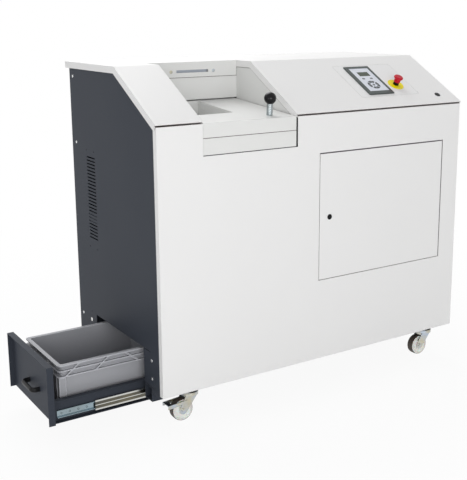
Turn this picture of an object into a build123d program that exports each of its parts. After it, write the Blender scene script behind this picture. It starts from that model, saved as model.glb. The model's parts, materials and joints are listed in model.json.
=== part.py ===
from build123d import *
import os
from math import atan, cos, radians, degrees, sin, tan

os.makedirs("parts", exist_ok=True)

# Media shredder on castors, in millimetres. Sizes below are measured from the cabinet's
# left front floor corner: x to the right, y to the back, z up from the floor.

# Cabinet
hood_width = 1250
hood_depth = 680
hood_height = 1150
sheet = 2
slope_run = 276
slope_rise = 156
hood_lip = 22
front_fold = 4
hood_seam = 3
panel_inset = 3
panel_clearance = 1
overrun = 5
touch_gap = 0.3
running_clearance = 0.05
front_edge_z = hood_height - slope_rise
slope_angle = degrees(atan(slope_rise / slope_run))

# Front panel and its access door
front_panel_bottom = 136
front_panel_top = front_edge_z - front_fold - hood_seam
door_left = 608
door_width = 559
door_drop = 131
door_height = 436
door_gap = 2
door_return = 16
door_pin_inset = 4.2
door_pin_radius = 2
lock_radius = 9.5
lock_proud = 1.5
barrel_radius = 8
cam_front = 22
lock_chamfer = 0.5
key_slot_width = 2
key_slot_height = 9
key_slot_depth = 3
lock_from_left = 42
lock_from_bottom = 216
cam_thickness = 3
cam_half_width = 8
cam_reach = 54
hood_cam_reach = 40
door_right = door_left + door_width
door_top = front_panel_top - door_drop
door_bottom = door_top - door_height
door_pin_x = door_right - door_pin_inset
lock_x = door_left + lock_from_left
lock_z = door_bottom + lock_from_bottom

# Side and rear panels
side_bottom = 149
side_front = 21
rear_overhang = 29
side_back = hood_depth - rear_overhang
side_fold = 16
screw_chamfer = 1.2
notch_half = 186.5
notch_top = 267
slit_length = 50
slit_height = 2
vent_count = 25
vent_length = 69
vent_height = 4.6
vent_pitch = 11.8
vent_bottom = 543
vent_front = 461
pinhole_radius = 2.5
pinhole_inset = 6.5
pinhole_above = 17
pinhole_below = 29
pinhole_margin = 108
pinhole_height = 269
pinholes = [
    (vent_front + pinhole_inset, vent_bottom + vent_count * vent_pitch + pinhole_above),
    (vent_front + vent_length, vent_bottom + vent_count * vent_pitch + pinhole_above),
    (vent_front + pinhole_inset, vent_bottom - pinhole_below),
    (vent_front + vent_length, vent_bottom - pinhole_below),
    (side_back - pinhole_margin, pinhole_height),
]
small_screw_radius = 5
large_screw_radius = 7
screw_height = 3
top_screw_inset = 30
top_screw_drop = 49
middle_screw_inset = 38
middle_screw_drop = 277
low_screw_inset = 32
low_screw_height = 244
front_screw_inset = 50
front_screw_height = 239
front_screw_pitch = 61
large_screw_inset = 109
large_screw_height = 239
side_screws = [
    (side_back - top_screw_inset, hood_height - top_screw_drop),
    (side_back - middle_screw_inset, hood_height - middle_screw_drop),
    (side_back - low_screw_inset, low_screw_height),
    (side_front + front_screw_inset, front_screw_height),
    (side_front + front_screw_inset, front_screw_height - front_screw_pitch),
]
large_screws = [(side_back - large_screw_inset, large_screw_height)]
rear_panel_drop = 34
rear_panel_top = hood_height - rear_panel_drop
rear_fold = 20

# Base and upper frame, square tube
base_bottom = 95
base_rail_height = 50
base_rail_depth = 50
rail_half = 185
outrigger_height = 20
tube = 40
tube_wall = 3
cross_rail_left = 500
middle_post_left = 555
post_front = 24
frame_back = side_back - sheet
left_post = panel_inset + sheet
gearbox_beam_front = 520
right_rail_drop = 44
rear_rail_drop = 50
right_rail_top = front_edge_z - right_rail_drop
rear_rail_top = hood_height - rear_rail_drop
inner_beam_left = 206
shelf_thickness = 6
shelf_right = 640
base_top = base_bottom + base_rail_height

# Feed table and slider, both tilted towards the operator
table_tilt = 4.8
recess_left = 160
recess_right = 512
recess_back = 369
recess_wall_gap = 4
slot_plate_thickness = 1.5
slot_plate_height = 53
slot_left = 273
slot_width = 124
slot_height = 9
slot_drop = 27
slot_plate_bottom = hood_height - slot_plate_height
slot_bottom = hood_height - slot_drop - slot_height
slot_screw_radius = 4
slot_screw_height = 1.6
slot_screw_chamfer = 0.7
slot_screw_margin = 21
slot_screw_lift = 4
slot_screws = [
    (slot_left - slot_screw_margin, slot_bottom + slot_screw_lift),
    (slot_left + slot_width + slot_screw_margin, slot_bottom + slot_screw_lift),
]
feed_setback = 3
feed_sheet = 3
slider_drop = 8
slider_height = 46
slider_side_gap = 3
slider_right_gap = 1
slider_back = 396
pocket_right = 352
pocket_length = 148
pocket_front = 131.5
pocket_width = 230
table_front_height = 51
table_left = 9
table_back = 420
chute_wall = 3
chute_flange = 3
post_x = 436.5
post_y = 48.7
post_radius = 10
post_height = 38
ball_radius = 20
ball_height = 55
slider_front_top = front_edge_z - slider_drop
slider_left = recess_left + slider_side_gap
slider_right = recess_right - slider_right_gap
slider_travel = pocket_length
opening_left = recess_left + slider_right_gap
opening_right = recess_right + recess_wall_gap
table_front_top = slider_front_top - slider_height - touch_gap
table_front_bottom = table_front_top - table_front_height
pocket_left = pocket_right - pocket_length
inlet_left = pocket_left - slider_travel
inlet_right = inlet_left + pocket_length
pocket_back = pocket_front + pocket_width

# Control panel, placed on the slope: across, and up the slope
insert_left = 829
insert_width = 267
insert_low = 63
insert_length = 199
insert_gap = 0.5
insert_corner = 8
insert_rim = 16
bezel_left = 871
bezel_width = 114
bezel_low = 74
bezel_length = 176
bezel_thickness = 4
bezel_corner = 3
bezel_chamfer = 1
keypad_left = 886
keypad_width = 89
keypad_low = 92
keypad_length = 146
keypad_recess = 1.2
key_height = 0.6
ring_x = 930
ring_s = 131
ring_outer = 24
ring_inner = 13
key_gap = 4
centre_key_radius = 5
small_key_s = 171
small_key_width = 11
small_key_length = 7
small_key_xs = (911, 947)
display_left = 907
display_width = 49
display_low = 187
display_length = 26
stop_x = 1031
stop_s = 127.5
stop_disc_radius = 30
stop_disc_thickness = 1.5
stop_collar_radius = 10.5
stop_collar_height = 13
stop_block_side = 30
stop_block_depth = 44
stop_stem_radius = 6
stop_travel = 4
stop_head_height = 34
stop_head_radius = 17
stop_neck_radius = 12
stop_neck_share = 0.5
stop_top_share = 0.8
stop_stem_depth = 20
stop_block_top = 8
hood_lock_x = 1174
hood_lock_s = 49
hood_lock_radius = 11

# Hood hinge, under the overhang at the rear
hinge_inset = 14
hinge_drop = 23
hinge_y = hood_depth - hinge_inset
hinge_z = hood_height - hinge_drop
knuckle_radius = 6
hinge_pin_radius = 3
hinge_length = 80
hinge_middle_length = 30
hinge_flap_depth = 36
hinge_flap_rear = 10
hinge_arm = 4
hinge_leaf_height = 50
hinge_leaf_thickness = 3
hinge_places = (200, 1050)

# Cutting unit
plate_thickness = 20
plate_height = 160
plate_margin = 117
plate_margin_gap = 1.5
intake_drop = 88.7
shaft_height = 75
cutter_top = table_front_bottom - intake_drop
beam_top = cutter_top - plate_height
shaft_z = beam_top + shaft_height
shaft_spacing = 90
shaft_radius = 25
spacer_radius = 30
disc_radius = 56
disc_count = 6
disc_gap = 0.5
hook_count = 5
hook_root_share = 0.80
hook_radius_shares = (1.0, hook_root_share, 0.84, 0.93)
hook_angle_shares = (0.0, 0.10, 0.55, 0.90)
disc_stagger = 12
cutter_wall = 14
comb_height = 50
comb_reach = 40
boss_radius = 42
boss_depth = 8
gear_module = 3
gear_teeth = 30
gear_width = 25
gear_addendum_share = 0.73
gear_root_share = 1.33
tooth_root_share = 0.35
tooth_tip_share = 0.11
gear_offset = 4
coupling_radius = 40
coupling_length = 48
coupling_bore_length = 24
coupling_chamfer = 2
shaft_front_stub = 6

# Drive
gearbox_width = 150
gearbox_height = 150
gearbox_margin = 44
gearbox_back = frame_back - gearbox_margin
gearbox_boss_radius = 45
gearbox_boss_depth = 10
gearbox_corner = 12
motor_radius = 70
motor_fin_radius = 78
motor_fin_length = 210
motor_foot_gap = 8
motor_flange_radius = 76
motor_flange_depth = 14
motor_fin_count = 24
motor_fin_thickness = 3
motor_length = 330
motor_cowl_length = 60
motor_foot_length = 90
terminal_side = 90
terminal_height = 46
cabinet_left = 660
cabinet_width = 470
cabinet_bottom = 200
cabinet_headroom = 110
cabinet_height = right_rail_top - tube - cabinet_headroom - cabinet_bottom
cabinet_depth = 180
cabinet_door = 3
cabinet_door_margin = 12
cabinet_corner = 10
cabinet_back = frame_back - tube
gland_x = 1150
gland_z = 250
gland_radius = 14
gland_length = 18
gland_bore = 8
gland_wall = 3
outlet_bottom = 282
outlet_left = 90
outlet_right = 350
outlet_length = 250
outlet_top_width = 150
outlet_wall = 2

# Drawer, shown pulled out by drawer_open
bay_share = 0.4
bay_offset = 43.8
drawer_open = 321
drawer_width = 368
drawer_bottom = 75
drawer_top = 266
pan_depth = 21
pan_plate = 3
tray_bottom = 77
tray_web_half = 161
tray_lip = 17
tray_lip_top = 150
tray_length = 435
handle_forward = 13
handle_z = 150
handle_span = 92
handle_reach = 30
handle_radius = 5.5
handle_bend = 12
handle_foot_radius = 8
handle_foot_height = 4
slide_z = 101.4
slide_length = 420
slide_half = 173.7
cabinet_member_height = 40
cabinet_member_wall = 3.2
cabinet_member_depth = 8.7
middle_member_height = 33
middle_member_wall = 3.7
inner_member_height = 25
inner_member_wall = 2
inner_member_depth = 7.5
member_web = 1.5
cabinet_member_left = 30
middle_member_left = -163
inner_member_left = -287
bracket_thickness = 2.5
bracket_top = 122
bracket_tab = 20

# Stacking container
container_length = 400
container_width = 300
container_height = 170
container_left = -272
container_wall = 3
collar_depth = 10
collar_rib = 3.5
collar_height = 40
collar_middle = 21
container_corner = 12
corner_post = 26
post_rib = 3
diagonal_rib = 3.5
diagonal_lean = 46
long_diagonals = (-150, -50, 50, 150)
short_diagonals = (-60, 60)
post_groove = 2
post_inset = 2
post_corner = 6

# Castors
wheel_radius = 37.5
wheel_width = 28
hub_radius = 15
rim_depth = 4
rim_wall = 6
tread_chamfer = 3
axle_radius = 4
axle_head = 6.5
axle_head_height = 4
trail = 33
fork_sheet = 3
fork_gap = 1.5
crown_radius = 29
crown_top = 91.7
crown_height = 8
fork_shoulder = 40
fork_ear = 14
castor_plate_thickness = 3
kingpin_radius = 6
kingpin_head_radius = 10
kingpin_head_height = 4
castor_half = 218
left_castor_x = 150
right_castor_x = 1204
pedal_reach = 57
pedal_pivot_x = 13
pedal_tread = 16
pedal_tread_z = 60
pedal_pivot_z = 66
pedal_cheek = 2
pedal_drop = 12
pedal_pin_radius = 3

# Places worked out from the sizes above
bay_middle = side_front + (frame_back - side_front) * bay_share + bay_offset
notch_front = bay_middle - notch_half
notch_back = bay_middle + notch_half
handle_y = bay_middle - handle_forward
slide_face = bay_middle - slide_half
base_inner_front = bay_middle - rail_half
base_rail_front = base_inner_front - base_rail_depth
castor_y = bay_middle - castor_half
front_return = side_front - touch_gap
opening_bottom = table_front_bottom - door_gap
table_beam_top = table_front_bottom
left_wall_bottom = slider_front_top + recess_wall_gap
right_wall_bottom = slider_front_top - recess_wall_gap
base_inner_back = 2 * bay_middle - base_inner_front
right_post = hood_width - left_post - tube
rear_post_front = frame_back - tube
table_cross_left = middle_post_left - tube
keypad_face = bezel_thickness - keypad_recess
stop_cap_floor = stop_collar_height + stop_travel + touch_gap
stop_flare_z = stop_collar_height + (stop_head_height - stop_collar_height) * stop_neck_share
stop_rim_z = stop_collar_height + (stop_head_height - stop_collar_height) * stop_top_share

cutter_front = pocket_front - chute_wall - touch_gap - plate_thickness
shaft_middle = (inlet_left + inlet_right) / 2
shaft_xs = (shaft_middle - shaft_spacing / 2, shaft_middle + shaft_spacing / 2)
cutter_left = shaft_middle - plate_margin
cutter_right = shaft_middle + plate_margin
disc_zone_front = cutter_front + plate_thickness
disc_zone_back = pocket_back + chute_wall + touch_gap
cutter_back = disc_zone_back + plate_thickness
first_disc = disc_zone_front + plate_margin_gap
disc_pitch = (disc_zone_back - disc_zone_front - 2 * plate_margin_gap) / (2 * disc_count)
disc_thickness = disc_pitch - disc_gap
disc_zone_middle = (disc_zone_front + disc_zone_back) / 2
disc_zone_length = disc_zone_back - disc_zone_front
outlet_top_middle = (left_post + tube + inner_beam_left) / 2
outlet_neck_bottom = beam_top - tube
gear_back = cutter_back + gear_offset + gear_width
gear_pitch_radius = gear_module * gear_teeth / 2
gear_tip_radius = gear_pitch_radius + gear_module * gear_addendum_share
gear_root_radius = gear_pitch_radius - gear_module * gear_root_share
coupling_front = gear_back + gear_offset
coupling_back = coupling_front + coupling_length
gearbox_front = coupling_back + touch_gap
motor_y = (gearbox_front + gearbox_boss_depth + gearbox_back) / 2
motor_z = beam_top + motor_foot_gap + motor_fin_radius
motor_left = shaft_xs[1] + gearbox_width / 2
motor_middle = motor_left + motor_flange_depth + motor_fin_length / 2

pan_right = pan_depth - drawer_open
pan_front = bay_middle - drawer_width / 2
pan_back = bay_middle + drawer_width / 2
handle_foot_x = pan_right - pan_plate
handle_grip_x = handle_foot_x - handle_reach + handle_radius
tray_right = pan_right + tray_length
tray_web = bay_middle - tray_web_half
tray_front = tray_web - tray_lip

castor_names = ("front_left", "front_right", "rear_left", "rear_right")
castor_places = (
    (left_castor_x, castor_y),
    (right_castor_x, castor_y),
    (left_castor_x, 2 * bay_middle - castor_y),
    (right_castor_x, 2 * bay_middle - castor_y),
)
crown_bottom = crown_top - crown_height
cheek_reach = wheel_width / 2 + fork_gap + fork_sheet
pedal_front = castor_y - cheek_reach - touch_gap
pedal_back = castor_y + cheek_reach + touch_gap
pedal_pivot = left_castor_x - trail + pedal_pivot_x
pedal_tip = left_castor_x - trail - pedal_reach

# The origin lies on the floor under the middle of everything
left_reach = drawer_open - pan_depth + pan_plate + handle_reach
corner_x = -(hood_width - left_reach) / 2
corner_y = -(hood_depth - lock_proud) / 2
corner = (corner_x, corner_y, 0)
slope_normal = (0, -sin(radians(slope_angle)), cos(radians(slope_angle)))
tilt_normal = (0, -sin(radians(table_tilt)), cos(radians(table_tilt)))
floor_plane = Plane(origin=corner, x_dir=(1, 0, 0), z_dir=(0, 0, 1))
side_plane = Plane(origin=corner, x_dir=(0, 1, 0), z_dir=(1, 0, 0))
front_plane = Plane(origin=corner, x_dir=(1, 0, 0), z_dir=(0, -1, 0))
slope_plane = Plane(origin=(corner_x, corner_y, front_edge_z), x_dir=(1, 0, 0), z_dir=slope_normal)


def at(x, y, z):
    return (corner_x + x, corner_y + y, z)


def on_slope(x, s):
    # A plane on the slope of the hood, x across it and s up it
    a = radians(slope_angle)
    return Plane(origin=at(x, s * cos(a), front_edge_z + s * sin(a)), x_dir=(1, 0, 0), z_dir=slope_normal)


def tilted(z, y):
    # Height of a tilted surface that is z high at the cabinet's front
    return z + y * tan(radians(table_tilt))


def skin_height(y, depth):
    # Height of the slope at y, moved inwards by depth
    a = radians(slope_angle)
    return front_edge_z + y * tan(a) - depth / cos(a)


def under_skin(depth):
    # The hood's profile, moved inwards by depth
    a = radians(slope_angle)
    return [
        (depth * sin(a), front_edge_z - depth * cos(a)),
        (slope_run + depth * tan(a / 2), hood_height - depth),
        (hood_depth, hood_height - depth),
    ]


def skin_band(shallow, deep):
    return under_skin(shallow) + under_skin(deep)[::-1]


def tilted_band(y0, y1, top, bottom):
    # A strip of the side view between two tilted lines
    return [(y0, tilted(bottom, y0)), (y1, tilted(bottom, y1)), (y1, tilted(top, y1)), (y0, tilted(top, y0))]


knob_plane = Plane(origin=at(post_x, post_y, tilted(slider_front_top, post_y)), x_dir=(1, 0, 0),
                   z_dir=tilt_normal)
stop_plane = on_slope(stop_x, stop_s)
stop_side_plane = Plane(origin=stop_plane.origin, x_dir=(1, 0, 0), z_dir=stop_plane.y_dir * -1)
hood_lock_plane = on_slope(hood_lock_x, hood_lock_s)
motor_plane = Plane(origin=at(motor_left, motor_y, motor_z), x_dir=(0, 1, 0), z_dir=(1, 0, 0))
container_middle = at(container_left + container_length / 2, bay_middle, tray_bottom + sheet + touch_gap)
container_plane = Plane(origin=container_middle, x_dir=(1, 0, 0), z_dir=(0, 0, 1))


def block(x0, x1, y0, y1, z0, z1, mode=Mode.ADD):
    # A rectangular solid between two corners, added to the part being built
    with Locations(at((x0 + x1) / 2, (y0 + y1) / 2, (z0 + z1) / 2)):
        Box(x1 - x0, y1 - y0, z1 - z0, mode=mode)


def tube_block(x0, x1, y0, y1, z0, z1, along):
    # A square tube, open at both ends, along x, y or z
    wx = 0 if along == "x" else tube_wall
    wy = 0 if along == "y" else tube_wall
    wz = 0 if along == "z" else tube_wall
    block(x0, x1, y0, y1, z0, z1)
    block(x0 + wx, x1 - wx, y0 + wy, y1 - wy, z0 + wz, z1 - wz, mode=Mode.SUBTRACT)


def both_sides(x0, x1, y0, y1, z0, z1, mode=Mode.ADD):
    # A block and its mirror image across the middle of the drawer bay
    block(x0, x1, y0, y1, z0, z1, mode)
    block(x0, x1, 2 * bay_middle - y1, 2 * bay_middle - y0, z0, z1, mode)


def bar_along_y(x, z, radius, y0, y1, mode=Mode.ADD):
    # A round bar from the front to the back
    with Locations(at(x, (y0 + y1) / 2, z)):
        Cylinder(radius, y1 - y0, rotation=(90, 0, 0), mode=mode)


def bar_along_z(x, y, radius, z0, z1, mode=Mode.ADD):
    # An upright round bar
    with Locations(at(x, y, (z0 + z1) / 2)):
        Cylinder(radius, z1 - z0, mode=mode)


def slide_member(left, web_face, flange_end, height, wall):
    # One member of both telescopic slides: a channel on its side
    web_end = web_face + (member_web if flange_end > web_face else -member_web)
    right = left + slide_length
    low, high = slide_z - height / 2, slide_z + height / 2
    both_sides(left, right, min(web_face, web_end), max(web_face, web_end), low, high)
    for z0, z1 in ((low, low + wall), (high - wall, high)):
        both_sides(left, right, min(web_face, flange_end), max(web_face, flange_end), z0, z1)


# Hood: one folded sheet, cut out for the feed recess and the control panel
with BuildPart() as hood:
    with BuildSketch(side_plane):
        with BuildLine():
            Polyline(*skin_band(0, sheet), close=True)
        make_face()
    extrude(amount=hood_width)
    block(0, hood_width, 0, sheet, front_edge_z - front_fold, front_edge_z)
    block(0, hood_width, hood_depth - sheet, hood_depth, hood_height - hood_lip, hood_height)
    block(recess_left, recess_right, -overrun, recess_back, front_edge_z - hood_lip, hood_height + overrun,
          mode=Mode.SUBTRACT)
    for lip_left in (0, recess_left - sheet, recess_right, hood_width - sheet):
        with BuildSketch(side_plane.offset(lip_left)):
            with BuildLine():
                Polyline(*skin_band(0, hood_lip), close=True)
            make_face()
        extrude(amount=sheet)
    block(recess_left - sheet, recess_right + sheet, recess_back, hood_depth - sheet,
          hood_height - hood_lip - overrun, hood_height - sheet, mode=Mode.SUBTRACT)
    with BuildSketch(side_plane.offset(recess_left - sheet)):
        with BuildLine():
            Polyline(*tilted_band(-overrun, slope_run, left_wall_bottom, front_edge_z - hood_lip - overrun),
                     close=True)
        make_face()
    extrude(amount=sheet, mode=Mode.SUBTRACT)
    with BuildSketch(slope_plane):
        with Locations((insert_left + insert_width / 2, insert_low + insert_length / 2)):
            RectangleRounded(insert_width, insert_length, insert_corner)
        with Locations((hood_lock_x, hood_lock_s)):
            Circle(barrel_radius + running_clearance)
    extrude(amount=-sheet - overrun, mode=Mode.SUBTRACT)
hood.part.label = "hood"
export_step(hood.part, "parts/hood.step")

# Recess walls: one sheet bent round the left, the back and the right of the feed recess
with BuildPart() as recess_walls:
    with BuildSketch(side_plane.offset(recess_left - 2 * sheet)):
        with BuildLine():
            Polyline(
                (feed_setback, skin_height(feed_setback, sheet)),
                *under_skin(sheet)[1:2],
                (recess_back + sheet, hood_height - sheet),
                (recess_back + sheet, tilted(left_wall_bottom, recess_back + sheet)),
                (feed_setback, tilted(left_wall_bottom, feed_setback)),
                close=True,
            )
        make_face()
    extrude(amount=recess_right - recess_left + 4 * sheet)
    block(recess_left - sheet, recess_right + sheet, -overrun, recess_back, table_front_top, hood_height,
          mode=Mode.SUBTRACT)
    with BuildSketch(side_plane.offset(recess_right + sheet)):
        with BuildLine():
            Polyline(*tilted_band(feed_setback, recess_back + sheet, left_wall_bottom, right_wall_bottom),
                     close=True)
        make_face()
    extrude(amount=sheet)
    block(slot_left, slot_left + slot_width, recess_back - overrun, recess_back + overrun,
          slot_bottom, slot_bottom + slot_height, mode=Mode.SUBTRACT)
recess_walls.part.label = "recess_walls"
export_step(recess_walls.part, "parts/recess_walls.step")

# Slot plate screwed to the top of the recess's back wall
with BuildPart() as slot_plate:
    block(recess_left, recess_right, recess_back - slot_plate_thickness, recess_back,
          slot_plate_bottom, hood_height)
    block(slot_left, slot_left + slot_width, recess_back - overrun, recess_back + overrun,
          slot_bottom, slot_bottom + slot_height, mode=Mode.SUBTRACT)
slot_plate.part.label = "slot_plate"
export_step(slot_plate.part, "parts/slot_plate.step")

with BuildPart() as slot_plate_screws:
    with BuildSketch(front_plane.offset(slot_plate_thickness - recess_back)):
        with Locations(*slot_screws):
            Circle(slot_screw_radius)
    extrude(amount=slot_screw_height)
    chamfer(slot_plate_screws.edges().group_by(Axis.Y)[0], slot_screw_chamfer)
slot_plate_screws.part.label = "slot_plate_screws"
export_step(slot_plate_screws.part, "parts/slot_plate_screws.step")

# Front panel: folded edges, an open-topped notch for the feed slider and an opening for the door
with BuildPart() as front_panel:
    block(panel_inset, hood_width - panel_inset, 0, front_return, front_panel_bottom, front_panel_top)
    block(panel_inset + sheet, hood_width - panel_inset - sheet, sheet, front_return + overrun,
          front_panel_bottom + sheet, front_panel_top - sheet, mode=Mode.SUBTRACT)
    block(panel_inset + sheet, opening_right, sheet, front_return + overrun,
          front_panel_top - sheet - overrun, front_panel_top + overrun, mode=Mode.SUBTRACT)
    block(opening_left, opening_right, -overrun, front_return + overrun, opening_bottom,
          front_panel_top + overrun, mode=Mode.SUBTRACT)
    block(door_left - door_gap - sheet, door_right + door_gap + sheet, 0, front_return,
          door_bottom - door_gap - sheet, door_top + door_gap + sheet)
    block(door_left - door_gap, door_right + door_gap, -overrun, front_return + overrun,
          door_bottom - door_gap, door_top + door_gap, mode=Mode.SUBTRACT)
    bar_along_z(door_pin_x, door_pin_inset, door_pin_radius, door_bottom - overrun - door_gap,
                door_top + overrun + door_gap, mode=Mode.SUBTRACT)
front_panel.part.label = "front_panel"
export_step(front_panel.part, "parts/front_panel.step")

# Access door: a folded tray that turns on a pin at the top and one at the bottom
with BuildPart() as access_door:
    block(door_left, door_right, 0, door_return, door_bottom, door_top)
    block(door_left + sheet, door_right - sheet, sheet, door_return + overrun, door_bottom + sheet,
          door_top - sheet, mode=Mode.SUBTRACT)
    bar_along_z(door_pin_x, door_pin_inset, door_pin_radius + running_clearance,
                door_bottom - overrun, door_top + overrun, mode=Mode.SUBTRACT)
    bar_along_y(lock_x, lock_z, barrel_radius + running_clearance, -overrun, overrun, mode=Mode.SUBTRACT)
access_door.part.label = "access_door"
export_step(access_door.part, "parts/access_door.step")

with BuildPart() as door_hinge_pins:
    for pin_low in (door_bottom - 2 * door_gap - sheet, door_top - sheet - door_gap):
        bar_along_z(door_pin_x, door_pin_inset, door_pin_radius, pin_low,
                    pin_low + 3 * door_gap + 2 * sheet)
door_hinge_pins.part.label = "door_hinge_pins"
export_step(door_hinge_pins.part, "parts/door_hinge_pins.step")

# Quarter-turn lock of the door, its cam hanging down while it is open
with BuildPart() as door_lock:
    bar_along_y(lock_x, lock_z, lock_radius, -lock_proud, 0)
    bar_along_y(lock_x, lock_z, barrel_radius, 0, cam_front + cam_thickness)
    block(lock_x - cam_half_width, lock_x + cam_half_width, cam_front, cam_front + cam_thickness,
          lock_z - cam_reach, lock_z)
    chamfer(door_lock.edges().group_by(Axis.Y)[0], lock_chamfer)
    block(lock_x - key_slot_width / 2, lock_x + key_slot_width / 2, -lock_proud - overrun, key_slot_depth,
          lock_z - key_slot_height / 2, lock_z + key_slot_height / 2, mode=Mode.SUBTRACT)
door_lock.part.label = "door_lock"
export_step(door_lock.part, "parts/door_lock.step")

# Side panels: the left one is notched for the drawer; both are folded at the front
for side_name, panel_left, fold_left in (
    ("left_side_panel", panel_inset, panel_inset),
    ("right_side_panel", hood_width - panel_inset - sheet, hood_width - panel_inset - side_fold),
):
    with BuildPart() as side_panel:
        with BuildSketch(side_plane.offset(panel_left)):
            with BuildLine():
                Polyline(
                    (side_front, side_bottom),
                    (side_back, side_bottom),
                    (side_back, hood_height - sheet - panel_clearance),
                    *under_skin(sheet + panel_clearance)[1:2],
                    (side_front, skin_height(side_front, sheet + panel_clearance)),
                    close=True,
                )
            make_face()
            with Locations(*[(vent_front + vent_length / 2, vent_bottom + vent_pitch * (i + 0.5))
                             for i in range(vent_count)]):
                Rectangle(vent_length, vent_height, mode=Mode.SUBTRACT)
            with Locations(*pinholes):
                Circle(pinhole_radius, mode=Mode.SUBTRACT)
        extrude(amount=sheet)
        block(fold_left, fold_left + side_fold, side_front, side_front + sheet, side_bottom, table_beam_top)
        if side_name == "left_side_panel":
            block(panel_left - overrun, panel_left + overrun, notch_front, notch_back,
                  side_bottom - overrun, notch_top, mode=Mode.SUBTRACT)
            block(panel_left - overrun, panel_left + overrun, notch_front - slit_length, notch_front,
                  notch_top - slit_height, notch_top, mode=Mode.SUBTRACT)
    side_panel.part.label = side_name
    export_step(side_panel.part, "parts/" + side_name + ".step")

with BuildPart() as panel_screws:
    for head_face, head_way in ((panel_inset, -1), (hood_width - panel_inset, 1)):
        with BuildSketch(side_plane.offset(head_face)):
            with Locations(*side_screws):
                Circle(small_screw_radius)
            with Locations(*large_screws):
                Circle(large_screw_radius)
        extrude(amount=head_way * screw_height)
    chamfer(panel_screws.edges().group_by(Axis.X)[0] + panel_screws.edges().group_by(Axis.X)[-1],
            screw_chamfer)
panel_screws.part.label = "panel_screws"
export_step(panel_screws.part, "parts/panel_screws.step")

with BuildPart() as rear_panel:
    block(left_post, hood_width - left_post, side_back - rear_fold, side_back, side_bottom, rear_panel_top)
    block(left_post - overrun, hood_width - left_post + overrun, side_back - rear_fold - overrun,
          side_back - sheet, side_bottom - overrun, rear_panel_top - sheet, mode=Mode.SUBTRACT)
    bar_along_y(gland_x, gland_z, gland_bore, side_back - overrun, side_back + overrun, mode=Mode.SUBTRACT)
rear_panel.part.label = "rear_panel"
export_step(rear_panel.part, "parts/rear_panel.step")

# Base frame: rails all round but on the left, where the drawer comes out, and stubs under the posts
with BuildPart() as base_frame:
    for y0 in (base_rail_front, base_inner_back):
        tube_block(left_post, hood_width - left_post, y0, y0 + base_rail_depth, base_bottom, base_top, "x")
    for x0 in (cross_rail_left, hood_width - left_post - base_rail_depth):
        tube_block(x0, x0 + base_rail_depth, base_inner_front, base_inner_back, base_bottom, base_top, "y")
    for x0 in (left_post, middle_post_left, right_post):
        block(x0, x0 + tube, post_front, base_rail_front, base_top - outrigger_height, base_top)
    for x0 in (left_post, right_post):
        tube_block(x0, x0 + tube, base_inner_back + base_rail_depth, frame_back, base_bottom, base_top, "y")
    for castor_x, castor_front in castor_places:
        bar_along_z(castor_x, castor_front, kingpin_radius, base_bottom - overrun, base_bottom + overrun,
                    mode=Mode.SUBTRACT)
base_frame.part.label = "base_frame"
export_step(base_frame.part, "parts/base_frame.step")

# Upper frame: posts, the front and rear beams and the rails under the feed table
with BuildPart() as upper_frame:
    for post_left, y0, post_top in (
        (left_post, post_front, table_beam_top - tube),
        (middle_post_left, post_front, right_rail_top),
        (right_post, post_front, right_rail_top),
        (left_post, rear_post_front, rear_rail_top),
        (right_post, rear_post_front, rear_rail_top),
    ):
        tube_block(post_left, post_left + tube, y0, y0 + tube, base_top, post_top, "z")
    for x0, x1, y0, rail_top in (
        (left_post, middle_post_left, post_front, table_beam_top),
        (left_post + tube, middle_post_left, post_front, beam_top),
        (middle_post_left + tube, right_post, post_front, right_rail_top),
        (left_post + tube, right_post, rear_post_front, beam_top),
        (left_post + tube, right_post, rear_post_front, table_beam_top),
        (left_post + tube, right_post, rear_post_front, rear_rail_top),
        (left_post + tube, table_cross_left, table_back - tube, table_beam_top),
    ):
        tube_block(x0, x1, y0, y0 + tube, rail_top - tube, rail_top, "x")
    for x0 in (left_post, table_cross_left):
        tube_block(x0, x0 + tube, post_front + tube, rear_post_front, table_beam_top - tube,
                   table_beam_top, "y")
upper_frame.part.label = "upper_frame"
export_step(upper_frame.part, "parts/upper_frame.step")

# Bed of beams that carries the cutting unit, the gearbox and the motor's shelf
with BuildPart() as cutter_bed:
    for x0 in (left_post, inner_beam_left):
        tube_block(x0, x0 + tube, post_front + tube, rear_post_front, beam_top - tube, beam_top, "y")
    tube_block(left_post + tube, inner_beam_left, gearbox_beam_front, gearbox_beam_front + tube,
               beam_top - tube, beam_top, "x")
    block(inner_beam_left + tube, shelf_right, motor_y - motor_fin_radius, rear_post_front,
          beam_top - shelf_thickness, beam_top)
cutter_bed.part.label = "cutter_bed"
export_step(cutter_bed.part, "parts/cutter_bed.step")

# Feed slider: a tilted hollow box, open below, with a pocket that goes right through
with BuildPart() as feed_slider:
    for x0, x1, y0, y1, top, bottom, mode in (
        (slider_left, slider_right, feed_setback, slider_back,
         slider_front_top, slider_front_top - slider_height, Mode.ADD),
        (slider_left + feed_sheet, slider_right - feed_sheet, feed_setback + feed_sheet,
         slider_back - feed_sheet, slider_front_top - feed_sheet,
         slider_front_top - slider_height - overrun, Mode.SUBTRACT),
        (pocket_left - feed_sheet, pocket_right + feed_sheet, pocket_front - feed_sheet,
         pocket_back + feed_sheet, slider_front_top, slider_front_top - slider_height, Mode.ADD),
        (pocket_left, pocket_right, pocket_front, pocket_back, slider_front_top + overrun,
         slider_front_top - slider_height - overrun, Mode.SUBTRACT),
    ):
        with BuildSketch(side_plane.offset(x0)):
            with BuildLine():
                Polyline(*tilted_band(y0, y1, top, bottom), close=True)
            make_face()
        extrude(amount=x1 - x0, mode=mode)
feed_slider.part.label = "feed_slider"
export_step(feed_slider.part, "parts/feed_slider.step")

with BuildPart() as knob_post:
    with BuildSketch(knob_plane):
        Circle(post_radius)
    extrude(amount=post_height)
knob_post.part.label = "knob_post"
export_step(knob_post.part, "parts/knob_post.step")

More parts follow.
